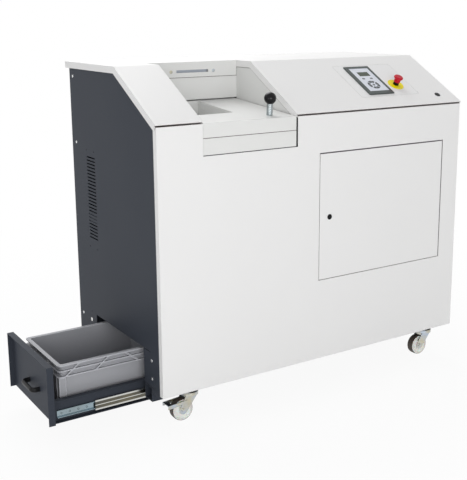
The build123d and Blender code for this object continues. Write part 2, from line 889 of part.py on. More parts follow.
with BuildPart() as knob_ball:
    with Locations(knob_plane.offset(ball_height)):
        Sphere(ball_radius)
    with BuildSketch(knob_plane):
        Circle(post_radius)
    extrude(amount=post_height, mode=Mode.SUBTRACT)
knob_ball.part.label = "knob_ball"
export_step(knob_ball.part, "parts/knob_ball.step")

# Feed table: a fixed box on the frame, its top parallel to the slider, with the inlet through it
with BuildPart() as feed_table:
    for inset, top, bottom, mode in (
        (0, table_front_top, table_beam_top, Mode.ADD),
        (feed_sheet, table_front_top - feed_sheet, table_beam_top - overrun, Mode.SUBTRACT),
    ):
        with BuildSketch(side_plane.offset(table_left + inset)):
            with BuildLine():
                Polyline(
                    (feed_setback + inset, bottom),
                    (table_back - inset, bottom),
                    (table_back - inset, tilted(top, table_back - inset)),
                    (feed_setback + inset, tilted(top, feed_setback + inset)),
                    close=True,
                )
            make_face()
        extrude(amount=slider_right - table_left - 2 * inset, mode=mode)
    block(inlet_left, inlet_right, pocket_front, pocket_back, table_beam_top, hood_height,
          mode=Mode.SUBTRACT)
feed_table.part.label = "feed_table"
export_step(feed_table.part, "parts/feed_table.step")

# Intake chute: a square tube from under the table to a flange on the cutting unit
with BuildPart() as intake_chute:
    with BuildSketch(side_plane.offset(inlet_left - chute_wall)):
        with BuildLine():
            Polyline(
                (pocket_front - chute_wall, cutter_top),
                (pocket_back + chute_wall, cutter_top),
                (pocket_back + chute_wall, tilted(table_front_top - feed_sheet, pocket_back + chute_wall)),
                (pocket_front - chute_wall, tilted(table_front_top - feed_sheet, pocket_front - chute_wall)),
                close=True,
            )
        make_face()
    extrude(amount=pocket_length + 2 * chute_wall)
    block(cutter_left, cutter_right, cutter_front, cutter_back, cutter_top, cutter_top + chute_flange)
    block(inlet_left, inlet_right, pocket_front, pocket_back, cutter_top - overrun, hood_height,
          mode=Mode.SUBTRACT)
intake_chute.part.label = "intake_chute"
export_step(intake_chute.part, "parts/intake_chute.step")

# Control panel let into the slope of the hood
with BuildPart() as control_insert:
    with BuildSketch(slope_plane):
        with Locations((insert_left + insert_width / 2, insert_low + insert_length / 2)):
            RectangleRounded(insert_width - 2 * insert_gap, insert_length - 2 * insert_gap, insert_corner)
        with Locations((stop_x, stop_s)):
            Circle(stop_collar_radius, mode=Mode.SUBTRACT)
    extrude(amount=-sheet)
    with BuildSketch(slope_plane.offset(-sheet)):
        with Locations((insert_left + insert_width / 2, insert_low + insert_length / 2)):
            RectangleRounded(insert_width + insert_rim, insert_length + insert_rim, insert_corner)
            RectangleRounded(insert_width - insert_rim, insert_length - insert_rim, insert_corner,
                             mode=Mode.SUBTRACT)
    extrude(amount=-sheet)
control_insert.part.label = "control_insert"
export_step(control_insert.part, "parts/control_insert.step")

with BuildPart() as control_bezel:
    with BuildSketch(slope_plane):
        with Locations((bezel_left + bezel_width / 2, bezel_low + bezel_length / 2)):
            RectangleRounded(bezel_width, bezel_length, bezel_corner)
    extrude(amount=bezel_thickness)
    chamfer(control_bezel.faces().sort_by(Axis.Z)[-1].edges(), bezel_chamfer)
    with BuildSketch(slope_plane):
        with Locations((keypad_left + keypad_width / 2, keypad_low + keypad_length / 2)):
            Rectangle(keypad_width, keypad_length)
    extrude(amount=bezel_thickness + overrun, mode=Mode.SUBTRACT)
control_bezel.part.label = "control_bezel"
export_step(control_bezel.part, "parts/control_bezel.step")

# Keypad: a membrane with two small keys and a ring of four round a centre key
with BuildPart() as keypad:
    with BuildSketch(slope_plane):
        with Locations((keypad_left + keypad_width / 2, keypad_low + keypad_length / 2)):
            Rectangle(keypad_width, keypad_length)
        with Locations((display_left + display_width / 2, display_low + display_length / 2)):
            Rectangle(display_width, display_length, mode=Mode.SUBTRACT)
    extrude(amount=keypad_face)
    with BuildSketch(slope_plane.offset(keypad_face)):
        with Locations((ring_x, ring_s)):
            Circle(ring_outer)
            Circle(ring_inner, mode=Mode.SUBTRACT)
            for turn in (45, 135):
                Rectangle(2 * ring_outer, key_gap, rotation=turn, mode=Mode.SUBTRACT)
            Circle(centre_key_radius)
        with Locations(*[(key_x, small_key_s) for key_x in small_key_xs]):
            RectangleRounded(small_key_width, small_key_length, key_height)
    extrude(amount=key_height)
keypad.part.label = "keypad"
export_step(keypad.part, "parts/keypad.step")

with BuildPart() as display:
    with BuildSketch(slope_plane):
        with Locations((display_left + display_width / 2, display_low + display_length / 2)):
            Rectangle(display_width, display_length)
    extrude(amount=keypad_face)
display.part.label = "display"
export_step(display.part, "parts/display.step")

# Emergency stop: a yellow disc, a collar with its contact block, and the red head that is pushed
with BuildPart() as stop_disc:
    with BuildSketch(stop_plane):
        Circle(stop_disc_radius)
        Circle(stop_collar_radius, mode=Mode.SUBTRACT)
    extrude(amount=stop_disc_thickness)
stop_disc.part.label = "stop_disc"
export_step(stop_disc.part, "parts/stop_disc.step")

with BuildPart() as stop_collar:
    with BuildSketch(stop_plane.offset(-stop_block_top)):
        Circle(stop_collar_radius)
    extrude(amount=stop_block_top + stop_collar_height)
    with BuildSketch(stop_plane.offset(-sheet)):
        Circle(stop_disc_radius * stop_top_share)
    extrude(amount=sheet - stop_block_top)
    with BuildSketch(stop_plane.offset(-stop_block_top)):
        RectangleRounded(stop_block_side, stop_block_side, sheet)
    extrude(amount=-stop_block_depth)
    with BuildSketch(stop_plane.offset(stop_collar_height)):
        Circle(stop_stem_radius + running_clearance)
    extrude(amount=-stop_collar_height - stop_stem_depth - 2 * stop_travel, mode=Mode.SUBTRACT)
stop_collar.part.label = "stop_collar"
export_step(stop_collar.part, "parts/stop_collar.step")

with BuildPart() as stop_head:
    with BuildSketch(stop_side_plane):
        with BuildLine():
            Polyline(
                (0, -stop_stem_depth),
                (stop_stem_radius, -stop_stem_depth),
                (stop_stem_radius, stop_cap_floor),
                (stop_collar_radius + touch_gap, stop_cap_floor),
                (stop_collar_radius + touch_gap, stop_collar_height),
                (stop_neck_radius, stop_collar_height),
                (stop_neck_radius, stop_flare_z),
            )
            Spline((stop_neck_radius, stop_flare_z), (stop_head_radius, stop_rim_z),
                   tangents=((0, 1), (0, 1)))
            Spline((stop_head_radius, stop_rim_z), (0, stop_head_height), tangents=((0, 1), (-1, 0)))
            Line((0, stop_head_height), (0, -stop_stem_depth))
        make_face()
    revolve(axis=Axis(stop_side_plane.origin, stop_side_plane.y_dir))
stop_head.part.label = "stop_head"
export_step(stop_head.part, "parts/stop_head.step")

# Quarter-turn lock of the hood
with BuildPart() as hood_lock:
    with BuildSketch(hood_lock_plane):
        Circle(hood_lock_radius)
    extrude(amount=lock_proud)
    chamfer(hood_lock.faces().sort_by(Axis.Z)[-1].edges(), lock_chamfer)
    with BuildSketch(hood_lock_plane.offset(-cam_front)):
        Circle(barrel_radius)
    extrude(amount=cam_front)
    with BuildSketch(hood_lock_plane.offset(-cam_front)):
        with Locations((0, hood_cam_reach / 2)):
            Rectangle(2 * cam_half_width, hood_cam_reach)
        Circle(barrel_radius)
    extrude(amount=-cam_thickness)
    with BuildSketch(hood_lock_plane.offset(lock_proud)):
        Rectangle(key_slot_width, key_slot_height)
    extrude(amount=-lock_proud - key_slot_depth, mode=Mode.SUBTRACT)
hood_lock.part.label = "hood_lock"
export_step(hood_lock.part, "parts/hood_lock.step")

# Hood hinge: leaves on the rear panel with the pins, flaps under the hood that turn on them
with BuildPart() as hood_hinge_leaves:
    for middle in hinge_places:
        block(middle - hinge_length / 2, middle + hinge_length / 2, side_back,
              side_back + hinge_leaf_thickness, hinge_z - hinge_leaf_height, hinge_z - knuckle_radius)
        block(middle - hinge_middle_length / 2, middle + hinge_middle_length / 2, side_back, hinge_y,
              hinge_z - knuckle_radius - hinge_arm, hinge_z - knuckle_radius + hinge_arm / 2)
        with Locations(at(middle, hinge_y, hinge_z)):
            Cylinder(knuckle_radius, hinge_middle_length, rotation=(0, 90, 0))
            Cylinder(hinge_pin_radius, hinge_length, rotation=(0, 90, 0))
hood_hinge_leaves.part.label = "hood_hinge_leaves"
export_step(hood_hinge_leaves.part, "parts/hood_hinge_leaves.step")

with BuildPart() as hood_hinge_flaps:
    for middle in hinge_places:
        block(middle - hinge_length / 2, middle + hinge_length / 2,
              hinge_y - hinge_flap_depth + hinge_flap_rear, hinge_y + hinge_flap_rear,
              hood_height - sheet - hinge_leaf_thickness, hood_height - sheet)
        block(middle - hinge_length / 2, middle + hinge_length / 2, hinge_y - hinge_arm / 2,
              hinge_y + hinge_arm / 2, hinge_z, hood_height - sheet)
        with Locations(at(middle, hinge_y, hinge_z)):
            Cylinder(knuckle_radius, hinge_length, rotation=(0, 90, 0))
            Cylinder(knuckle_radius + hinge_arm, hinge_middle_length + 2 * touch_gap, rotation=(0, 90, 0),
                     mode=Mode.SUBTRACT)
            Cylinder(hinge_pin_radius + running_clearance, hinge_length + overrun, rotation=(0, 90, 0),
                     mode=Mode.SUBTRACT)
hood_hinge_flaps.part.label = "hood_hinge_flaps"
export_step(hood_hinge_flaps.part, "parts/hood_hinge_flaps.step")

# Cutting unit: end plates that carry the two shafts
with BuildPart() as cutter_end_plates:
    for plate_front in (cutter_front, cutter_back - plate_thickness):
        block(cutter_left, cutter_right, plate_front, plate_front + plate_thickness, beam_top, cutter_top)
    for shaft_x in shaft_xs:
        bar_along_y(shaft_x, shaft_z, boss_radius, cutter_front - boss_depth, cutter_front)
    for shaft_x in shaft_xs:
        bar_along_y(shaft_x, shaft_z, shaft_radius + running_clearance, cutter_front - boss_depth - overrun,
                    cutter_back + overrun, mode=Mode.SUBTRACT)
cutter_end_plates.part.label = "cutter_end_plates"
export_step(cutter_end_plates.part, "parts/cutter_end_plates.step")

# Side walls with stripper combs that reach in between the discs, round the spacers
with BuildPart() as cutter_side_walls:
    for wall_left, comb_left, shaft_x, first_slot in (
        (cutter_left, cutter_left + cutter_wall, shaft_xs[0], 1),
        (cutter_right - cutter_wall, cutter_right - cutter_wall - comb_reach, shaft_xs[1], 0),
    ):
        block(wall_left, wall_left + cutter_wall, cutter_front + plate_thickness,
              cutter_back - plate_thickness, beam_top, cutter_top)
        for i in range(disc_count):
            slot_front = first_disc + (2 * i + first_slot) * disc_pitch + disc_gap / 2
            block(comb_left, comb_left + comb_reach, slot_front, slot_front + disc_thickness,
                  shaft_z - comb_height / 2, shaft_z + comb_height / 2)
        bar_along_y(shaft_x, shaft_z, spacer_radius + disc_gap, cutter_front, cutter_back,
                    mode=Mode.SUBTRACT)
cutter_side_walls.part.label = "cutter_side_walls"
export_step(cutter_side_walls.part, "parts/cutter_side_walls.step")

def across_shaft(x, y):
    # A plane across a cutter shaft, seen from the front
    return Plane(origin=at(x, y, shaft_z), x_dir=(1, 0, 0), z_dir=(0, -1, 0))


def polar(radius, turn):
    return (radius * cos(radians(turn)), radius * sin(radians(turn)))


def hooked_outline(start, way):
    # A cutting disc with hooks that all lean the same way
    return [
        polar(radius_share * disc_radius, start + way * (hook + angle_share) * 360 / hook_count)
        for hook in range(hook_count)
        for radius_share, angle_share in zip(hook_radius_shares, hook_angle_shares)
    ]


def toothed_outline(start):
    # A spur gear with straight flanks, thin enough to leave backlash
    tooth_corners = (
        (gear_root_radius, -tooth_root_share),
        (gear_tip_radius, -tooth_tip_share),
        (gear_tip_radius, tooth_tip_share),
        (gear_root_radius, tooth_root_share),
    )
    return [
        polar(radius, start + (tooth + turn_share) * 360 / gear_teeth)
        for tooth in range(gear_teeth)
        for radius, turn_share in tooth_corners
    ]


# Cutter shafts: hooked discs and spacers by turns, each disc a little further round than the last
for shaft_name, shaft_x, first_slot, hook_way, shaft_back in (
    ("cutter_shaft_left", shaft_xs[0], 0, 1, gear_back),
    ("cutter_shaft_right", shaft_xs[1], 1, -1, coupling_front + coupling_bore_length),
):
    with BuildPart() as cutter_shaft:
        bar_along_y(shaft_x, shaft_z, shaft_radius, cutter_front - boss_depth - shaft_front_stub, shaft_back)
        bar_along_y(shaft_x, shaft_z, spacer_radius, first_disc, first_disc + 2 * disc_count * disc_pitch)
        for i in range(disc_count):
            disc_front = first_disc + (2 * i + first_slot) * disc_pitch + disc_gap / 2
            with BuildSketch(across_shaft(shaft_x, disc_front + disc_thickness)):
                with BuildLine():
                    Polyline(*hooked_outline(i * disc_stagger, hook_way), close=True)
                make_face()
            extrude(amount=disc_thickness)
    cutter_shaft.part.label = shaft_name
    export_step(cutter_shaft.part, "parts/" + shaft_name + ".step")

# Pair of spur gears that make the shafts turn against each other
for gear_name, shaft_x, phase in (
    ("gear_left", shaft_xs[0], 0),
    ("gear_right", shaft_xs[1], 180 / gear_teeth),
):
    with BuildPart() as gear:
        with BuildSketch(across_shaft(shaft_x, gear_back)):
            with BuildLine():
                Polyline(*toothed_outline(phase), close=True)
            make_face()
            Circle(shaft_radius, mode=Mode.SUBTRACT)
        extrude(amount=gear_width)
    gear.part.label = gear_name
    export_step(gear.part, "parts/" + gear_name + ".step")

with BuildPart() as drive_coupling:
    bar_along_y(shaft_xs[1], shaft_z, coupling_radius, coupling_front, coupling_back)
    chamfer(drive_coupling.edges(), coupling_chamfer)
    bar_along_y(shaft_xs[1], shaft_z, shaft_radius, coupling_front, coupling_front + coupling_bore_length,
                mode=Mode.SUBTRACT)
drive_coupling.part.label = "drive_coupling"
export_step(drive_coupling.part, "parts/drive_coupling.step")

# Outlet chute: a neck between the beams under a flange, then walls that slant over to the container
with BuildPart() as outlet_chute:
    for inset, mode in ((0, Mode.ADD), (outlet_wall, Mode.SUBTRACT)):
        for plane_z in (beam_top, outlet_neck_bottom):
            with BuildSketch(floor_plane.offset(plane_z)):
                with Locations((outlet_top_middle, disc_zone_middle)):
                    Rectangle(outlet_top_width - 2 * inset, disc_zone_length - 2 * inset)
        loft(mode=mode)
        with BuildSketch(floor_plane.offset(outlet_neck_bottom)):
            with Locations((outlet_top_middle, disc_zone_middle)):
                Rectangle(outlet_top_width - 2 * inset, disc_zone_length - 2 * inset)
        with BuildSketch(floor_plane.offset(outlet_bottom)):
            with Locations(((outlet_left + outlet_right) / 2, bay_middle)):
                Rectangle(outlet_right - outlet_left - 2 * inset, outlet_length - 2 * inset)
        loft(mode=mode)
    with BuildSketch(floor_plane.offset(beam_top)):
        with Locations((shaft_middle, disc_zone_middle)):
            Rectangle(2 * (plate_margin - cutter_wall - touch_gap), disc_zone_length)
        with Locations((outlet_top_middle, disc_zone_middle)):
            Rectangle(outlet_top_width - 2 * outlet_wall, disc_zone_length - 2 * outlet_wall,
                      mode=Mode.SUBTRACT)
    extrude(amount=outlet_wall)
outlet_chute.part.label = "outlet_chute"
export_step(outlet_chute.part, "parts/outlet_chute.step")

# Bevel gearbox at the back of the right shaft
with BuildPart() as gearbox:
    block(shaft_xs[1] - gearbox_width / 2, shaft_xs[1] + gearbox_width / 2,
          gearbox_front + gearbox_boss_depth, gearbox_back, beam_top, beam_top + gearbox_height)
    chamfer(gearbox.edges().filter_by(Axis.Y), gearbox_corner)
    bar_along_y(shaft_xs[1], shaft_z, gearbox_boss_radius, gearbox_front, gearbox_back)
gearbox.part.label = "gearbox"
export_step(gearbox.part, "parts/gearbox.step")

# Foot-mounted motor with cooling fins, a fan cowl and a terminal box
with BuildPart() as drive_motor:
    with BuildSketch(motor_plane):
        Circle(motor_radius)
    extrude(amount=motor_length)
    for start, length, radius in (
        (0, motor_flange_depth, motor_flange_radius),
        (motor_length - motor_cowl_length, motor_cowl_length, motor_fin_radius),
    ):
        with BuildSketch(motor_plane.offset(start)):
            Circle(radius)
        extrude(amount=length)
    with BuildSketch(motor_plane.offset(motor_flange_depth)):
        with PolarLocations((motor_radius + motor_fin_radius) / 2, motor_fin_count):
            Rectangle(2 * (motor_fin_radius - motor_radius), motor_fin_thickness)
        Circle(motor_radius - motor_fin_thickness, mode=Mode.SUBTRACT)
    extrude(amount=motor_fin_length)
    block(motor_middle - motor_foot_length / 2, motor_middle + motor_foot_length / 2,
          motor_y - motor_radius, motor_y + motor_radius, beam_top, beam_top + 2 * motor_foot_gap)
    block(motor_middle - motor_foot_length / 2, motor_middle + motor_foot_length / 2,
          motor_y - motor_radius / 2, motor_y + motor_radius / 2, beam_top, motor_z)
    block(motor_middle - terminal_side / 2, motor_middle + terminal_side / 2,
          motor_y - terminal_side / 2, motor_y + terminal_side / 2, motor_z,
          motor_z + motor_radius + terminal_height)
drive_motor.part.label = "drive_motor"
export_step(drive_motor.part, "parts/drive_motor.step")

# Cabinet for the electrics, on the rear rails
with BuildPart() as control_cabinet:
    block(cabinet_left, cabinet_left + cabinet_width, cabinet_back - cabinet_depth, cabinet_back,
          cabinet_bottom, cabinet_bottom + cabinet_height)
    fillet(control_cabinet.edges().filter_by(Axis.Z), cabinet_corner)
    block(cabinet_left + cabinet_door_margin, cabinet_left + cabinet_width - cabinet_door_margin,
          cabinet_back - cabinet_depth - cabinet_door, cabinet_back - cabinet_depth,
          cabinet_bottom + cabinet_door_margin, cabinet_bottom + cabinet_height - cabinet_door_margin)
    for latch_z in (cabinet_bottom + cabinet_height / 4, cabinet_bottom + cabinet_height * 3 / 4):
        bar_along_y(cabinet_left + 3 * cabinet_door_margin, latch_z, lock_radius,
                    cabinet_back - cabinet_depth - 2 * cabinet_door, cabinet_back - cabinet_depth)
control_cabinet.part.label = "control_cabinet"
export_step(control_cabinet.part, "parts/control_cabinet.step")

with BuildPart() as cable_gland:
    with BuildSketch(front_plane.offset(-side_back - gland_length)):
        with Locations((gland_x, gland_z)):
            Circle(gland_bore + gland_wall)
    extrude(amount=gland_length)
    with BuildSketch(front_plane.offset(-side_back - gland_length / 2)):
        with Locations((gland_x, gland_z)):
            RegularPolygon(gland_radius, 6)
    extrude(amount=gland_length / 2)
    bar_along_y(gland_x, gland_z, gland_bore, side_back - overrun, side_back + gland_length + overrun,
                mode=Mode.SUBTRACT)
cable_gland.part.label = "cable_gland"
export_step(cable_gland.part, "parts/cable_gland.step")

# Drawer front: a pan that opens outwards, round the handle
with BuildPart() as drawer_front:
    block(-drawer_open, pan_right, pan_front, pan_back, drawer_bottom, drawer_top)
    block(-drawer_open - overrun, pan_right - pan_plate, pan_front + sheet, pan_back - sheet,
          drawer_bottom - overrun, drawer_top - sheet, mode=Mode.SUBTRACT)
drawer_front.part.label = "drawer_front"
export_step(drawer_front.part, "parts/drawer_front.step")

with BuildPart() as drawer_handle:
    with BuildLine(floor_plane.offset(handle_z)):
        FilletPolyline(
            (handle_foot_x, handle_y - handle_span / 2),
            (handle_grip_x, handle_y - handle_span / 2),
            (handle_grip_x, handle_y + handle_span / 2),
            (handle_foot_x, handle_y + handle_span / 2),
            radius=handle_bend,
        )
    with BuildSketch(Plane(origin=at(handle_foot_x, handle_y - handle_span / 2, handle_z), z_dir=(-1, 0, 0))):
        Circle(handle_radius)
    sweep()
    for foot_y in (handle_y - handle_span / 2, handle_y + handle_span / 2):
        with Locations(at(handle_foot_x - handle_foot_height / 2, foot_y, handle_z)):
            Cylinder(handle_foot_radius, handle_foot_height, rotation=(0, 90, 0))
drawer_handle.part.label = "drawer_handle"
export_step(drawer_handle.part, "parts/drawer_handle.step")

# Drawer tray: a floor, an end wall and two channels that the slides lie in
with BuildPart() as drawer_tray:
    block(pan_right, tray_right, tray_front, 2 * bay_middle - tray_front, tray_bottom, tray_bottom + sheet)
    both_sides(pan_right, tray_right, tray_web, tray_web + sheet, tray_bottom, tray_lip_top)
    both_sides(pan_right, tray_right, tray_front, tray_web, tray_lip_top - sheet, tray_lip_top)
    block(tray_right - sheet, tray_right, tray_web, 2 * bay_middle - tray_web, tray_bottom, tray_lip_top)
drawer_tray.part.label = "drawer_tray"
export_step(drawer_tray.part, "parts/drawer_tray.step")

# Telescopic slides, a pair of each member: on the cabinet, between, and on the drawer
with BuildPart() as cabinet_slide_members:
    slide_member(cabinet_member_left, slide_face, slide_face + cabinet_member_depth, cabinet_member_height,
                 cabinet_member_wall)
cabinet_slide_members.part.label = "cabinet_slide_members"
export_step(cabinet_slide_members.part, "parts/cabinet_slide_members.step")

with BuildPart() as middle_slide_members:
    slide_member(middle_member_left, slide_face + member_web + panel_clearance,
                 slide_face + cabinet_member_depth + panel_clearance, middle_member_height,
                 middle_member_wall)
middle_slide_members.part.label = "middle_slide_members"
export_step(middle_slide_members.part, "parts/middle_slide_members.step")

with BuildPart() as drawer_slide_members:
    slide_member(inner_member_left, tray_web, tray_web - inner_member_depth, inner_member_height,
                 inner_member_wall)
drawer_slide_members.part.label = "drawer_slide_members"
export_step(drawer_slide_members.part, "parts/drawer_slide_members.step")

# Brackets that hold the cabinet members off the base rails
with BuildPart() as slide_brackets:
    x0, x1 = cabinet_member_left, cabinet_member_left + slide_length
    both_sides(x0, x1, base_inner_front, base_inner_front + bracket_thickness, bracket_top - bracket_tab,
               bracket_top)
    both_sides(x0, x1, base_inner_front, slide_face, bracket_top - bracket_thickness, bracket_top)
    both_sides(x0, x1, slide_face - bracket_thickness, slide_face, slide_z - cabinet_member_height / 2,
               bracket_top)
slide_brackets.part.label = "slide_brackets"
export_step(slide_brackets.part, "parts/slide_brackets.step")

# Stacking container: plain walls under a ribbed collar, with a grooved post at each corner
def diagonal_rib_points(place):
    lean = diagonal_lean / 2 if place < 0 else -diagonal_lean / 2
    rib_low = container_height - collar_height + collar_rib / 2
    rib_high = container_height - collar_rib / 2
    return [
        (place - lean - diagonal_rib, rib_low),
        (place - lean + diagonal_rib, rib_low),
        (place + lean + diagonal_rib, rib_high),
        (place + lean - diagonal_rib, rib_high),
    ]


with BuildPart() as shred_container:
    with BuildSketch(container_plane):
        RectangleRounded(container_length - 2 * collar_depth, container_width - 2 * collar_depth,
                         container_corner)
    extrude(amount=container_height)
    post_pitch_x = container_length - corner_post - 2 * post_inset
    post_pitch_y = container_width - corner_post - 2 * post_inset
    with BuildSketch(container_plane):
        with GridLocations(post_pitch_x, post_pitch_y, 2, 2):
            RectangleRounded(corner_post, corner_post, post_corner)
    extrude(amount=container_height - collar_height + collar_rib / 2)
    with BuildSketch(container_plane.offset(post_rib)):
        with GridLocations(post_pitch_x, container_width, 2, 2):
            Rectangle(corner_post - 2 * post_rib, 2 * (post_inset + post_groove))
        with GridLocations(container_length, post_pitch_y, 2, 2):
            Rectangle(2 * (post_inset + post_groove), corner_post - 2 * post_rib)
    extrude(amount=container_height - collar_height - 2 * post_rib, mode=Mode.SUBTRACT)
    for rib_z in (container_height - collar_height, container_height - collar_middle,
                  container_height - collar_rib):
        with BuildSketch(container_plane.offset(rib_z)):
            RectangleRounded(container_length, container_width, container_corner)
        extrude(amount=collar_rib)
    for face_y in (-container_width / 2 + post_inset, container_width / 2 - collar_depth):
        with BuildSketch(Plane(origin=container_middle, x_dir=(1, 0, 0), z_dir=(0, -1, 0)).offset(
                post_inset - face_y - collar_depth)):
            for rib_place in long_diagonals:
                with BuildLine():
                    Polyline(*diagonal_rib_points(rib_place), close=True)
                make_face()
        extrude(amount=collar_depth - post_inset)
    for face_x in (-container_length / 2 + post_inset, container_length / 2 - collar_depth):
        with BuildSketch(Plane(origin=container_middle, x_dir=(0, 1, 0), z_dir=(1, 0, 0)).offset(face_x)):
            for rib_place in short_diagonals:
                with BuildLine():
                    Polyline(*diagonal_rib_points(rib_place), close=True)
                make_face()
        extrude(amount=collar_depth - post_inset)
    with BuildSketch(container_plane.offset(container_wall)):
        RectangleRounded(container_length - 2 * collar_depth - 2 * container_wall,
                         container_width - 2 * collar_depth - 2 * container_wall,
                         container_corner - container_wall)
    extrude(amount=container_height, mode=Mode.SUBTRACT)
shred_container.part.label = "shred_container"
export_step(shred_container.part, "parts/shred_container.step")

# Castors: four round top plates, each with the kingpin that is bolted through the rail, one group
with BuildPart() as castor_plates:
    for castor_x, castor_front in castor_places:
        bar_along_z(castor_x, castor_front, crown_radius, base_bottom - castor_plate_thickness, base_bottom)
        bar_along_z(castor_x, castor_front, kingpin_radius, crown_bottom - touch_gap,
                    base_bottom + tube_wall + kingpin_head_height)
        for head_bottom in (crown_bottom - touch_gap - kingpin_head_height, base_bottom + tube_wall):
            bar_along_z(castor_x, castor_front, kingpin_head_radius, head_bottom,
                        head_bottom + kingpin_head_height)
castor_plates.part.label = "castor_plates"
export_step(castor_plates.part, "parts/castor_plates.step")

for castor_name, (castor_x, castor_front) in zip(castor_names, castor_places):
    axle_x = castor_x - trail
    wheel_front = castor_front - wheel_width / 2

    # Fork: a round crown, two cheeks and the axle
    with BuildPart() as castor_fork:
        bar_along_z(castor_x, castor_front, crown_radius, crown_bottom, crown_top)
        for cheek_front in (wheel_front - fork_gap - fork_sheet, wheel_front + wheel_width + fork_gap):
            with BuildSketch(front_plane.offset(-cheek_front - fork_sheet)):
                with Locations((castor_x, (crown_bottom + crown_top) / 2)):
                    Rectangle(fork_shoulder, crown_height)
                with Locations((axle_x, wheel_radius)):
                    Circle(fork_ear)
                make_hull()
            extrude(amount=fork_sheet)
        bar_along_y(axle_x, wheel_radius, axle_radius, castor_front - cheek_reach, castor_front + cheek_reach)
        for head_front in (castor_front - cheek_reach - axle_head_height, castor_front + cheek_reach):
            bar_along_y(axle_x, wheel_radius, axle_head, head_front, head_front + axle_head_height)
        bar_along_z(castor_x, castor_front, kingpin_radius + running_clearance, crown_bottom - overrun,
                    crown_top + overrun, mode=Mode.SUBTRACT)
        if castor_name == "front_left":
            for pin_front in (castor_front - cheek_reach, castor_front + cheek_reach - fork_sheet):
                bar_along_y(axle_x + pedal_pivot_x, pedal_pivot_z, pedal_pin_radius + running_clearance,
                            pin_front, pin_front + fork_sheet, mode=Mode.SUBTRACT)
    castor_fork.part.label = "castor_fork_" + castor_name
    export_step(castor_fork.part, "parts/castor_fork_" + castor_name + ".step")

    # Wheel: a tread, a dished web and a hub
    with BuildPart() as castor_wheel:
        bar_along_y(axle_x, wheel_radius, wheel_radius, wheel_front, wheel_front + wheel_width)
        chamfer(castor_wheel.edges().filter_by(GeomType.CIRCLE), tread_chamfer)
        for dish_front in (wheel_front, wheel_front + wheel_width - rim_depth):
            with BuildSketch(front_plane.offset(-dish_front - rim_depth)):
                with Locations((axle_x, wheel_radius)):
                    Circle(wheel_radius - rim_wall)
                    Circle(hub_radius, mode=Mode.SUBTRACT)
            extrude(amount=rim_depth, mode=Mode.SUBTRACT)
        bar_along_y(axle_x, wheel_radius, axle_radius + running_clearance, wheel_front - overrun,
                    wheel_front + wheel_width + overrun, mode=Mode.SUBTRACT)
    castor_wheel.part.label = "castor_wheel_" + castor_name
    export_step(castor_wheel.part, "parts/castor_wheel_" + castor_name + ".step")

# Brake pedal on the front left castor: two cheeks on stub pins, joined by the tread
with BuildPart() as brake_pedal:
    for cheek_front, stub_front in (
        (pedal_front - pedal_cheek, pedal_front),
        (pedal_back, pedal_back - touch_gap - fork_sheet),
    ):
        with BuildSketch(front_plane.offset(-cheek_front - pedal_cheek)):
            with Locations((pedal_pivot, pedal_pivot_z)):
                Circle(pedal_pin_radius + pedal_cheek)
            with Locations((pedal_tip + pedal_tread / 2, pedal_tread_z)):
                Rectangle(pedal_tread, pedal_drop)
            make_hull()
        extrude(amount=pedal_cheek)
        bar_along_y(pedal_pivot, pedal_pivot_z, pedal_pin_radius, stub_front,
                    stub_front + touch_gap + fork_sheet)
    block(pedal_tip, pedal_tip + pedal_tread, pedal_front - pedal_cheek, pedal_back + pedal_cheek,
          pedal_tread_z + pedal_drop / 2 - pedal_cheek, pedal_tread_z + pedal_drop / 2)
brake_pedal.part.label = "brake_pedal"
export_step(brake_pedal.part, "parts/brake_pedal.step")
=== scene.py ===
import json
import math

import bmesh
import bpy
from mathutils import Matrix, Vector


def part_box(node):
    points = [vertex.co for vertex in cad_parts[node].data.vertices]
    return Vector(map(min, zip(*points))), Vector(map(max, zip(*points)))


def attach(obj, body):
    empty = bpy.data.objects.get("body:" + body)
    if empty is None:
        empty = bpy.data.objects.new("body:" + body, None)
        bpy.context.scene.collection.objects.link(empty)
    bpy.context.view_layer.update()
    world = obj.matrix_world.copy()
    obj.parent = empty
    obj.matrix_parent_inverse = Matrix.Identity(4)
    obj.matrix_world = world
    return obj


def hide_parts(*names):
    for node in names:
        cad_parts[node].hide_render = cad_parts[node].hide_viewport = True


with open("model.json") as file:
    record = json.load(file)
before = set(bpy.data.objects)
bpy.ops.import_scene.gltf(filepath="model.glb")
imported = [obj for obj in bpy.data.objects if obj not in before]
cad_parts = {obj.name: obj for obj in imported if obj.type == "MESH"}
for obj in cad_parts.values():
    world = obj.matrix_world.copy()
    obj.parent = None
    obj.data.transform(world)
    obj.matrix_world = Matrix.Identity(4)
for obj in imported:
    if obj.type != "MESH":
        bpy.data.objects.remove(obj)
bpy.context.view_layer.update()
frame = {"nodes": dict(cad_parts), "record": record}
nodes = frame["nodes"]
print("frame loaded:", len(nodes), "nodes")

mm = 0.001


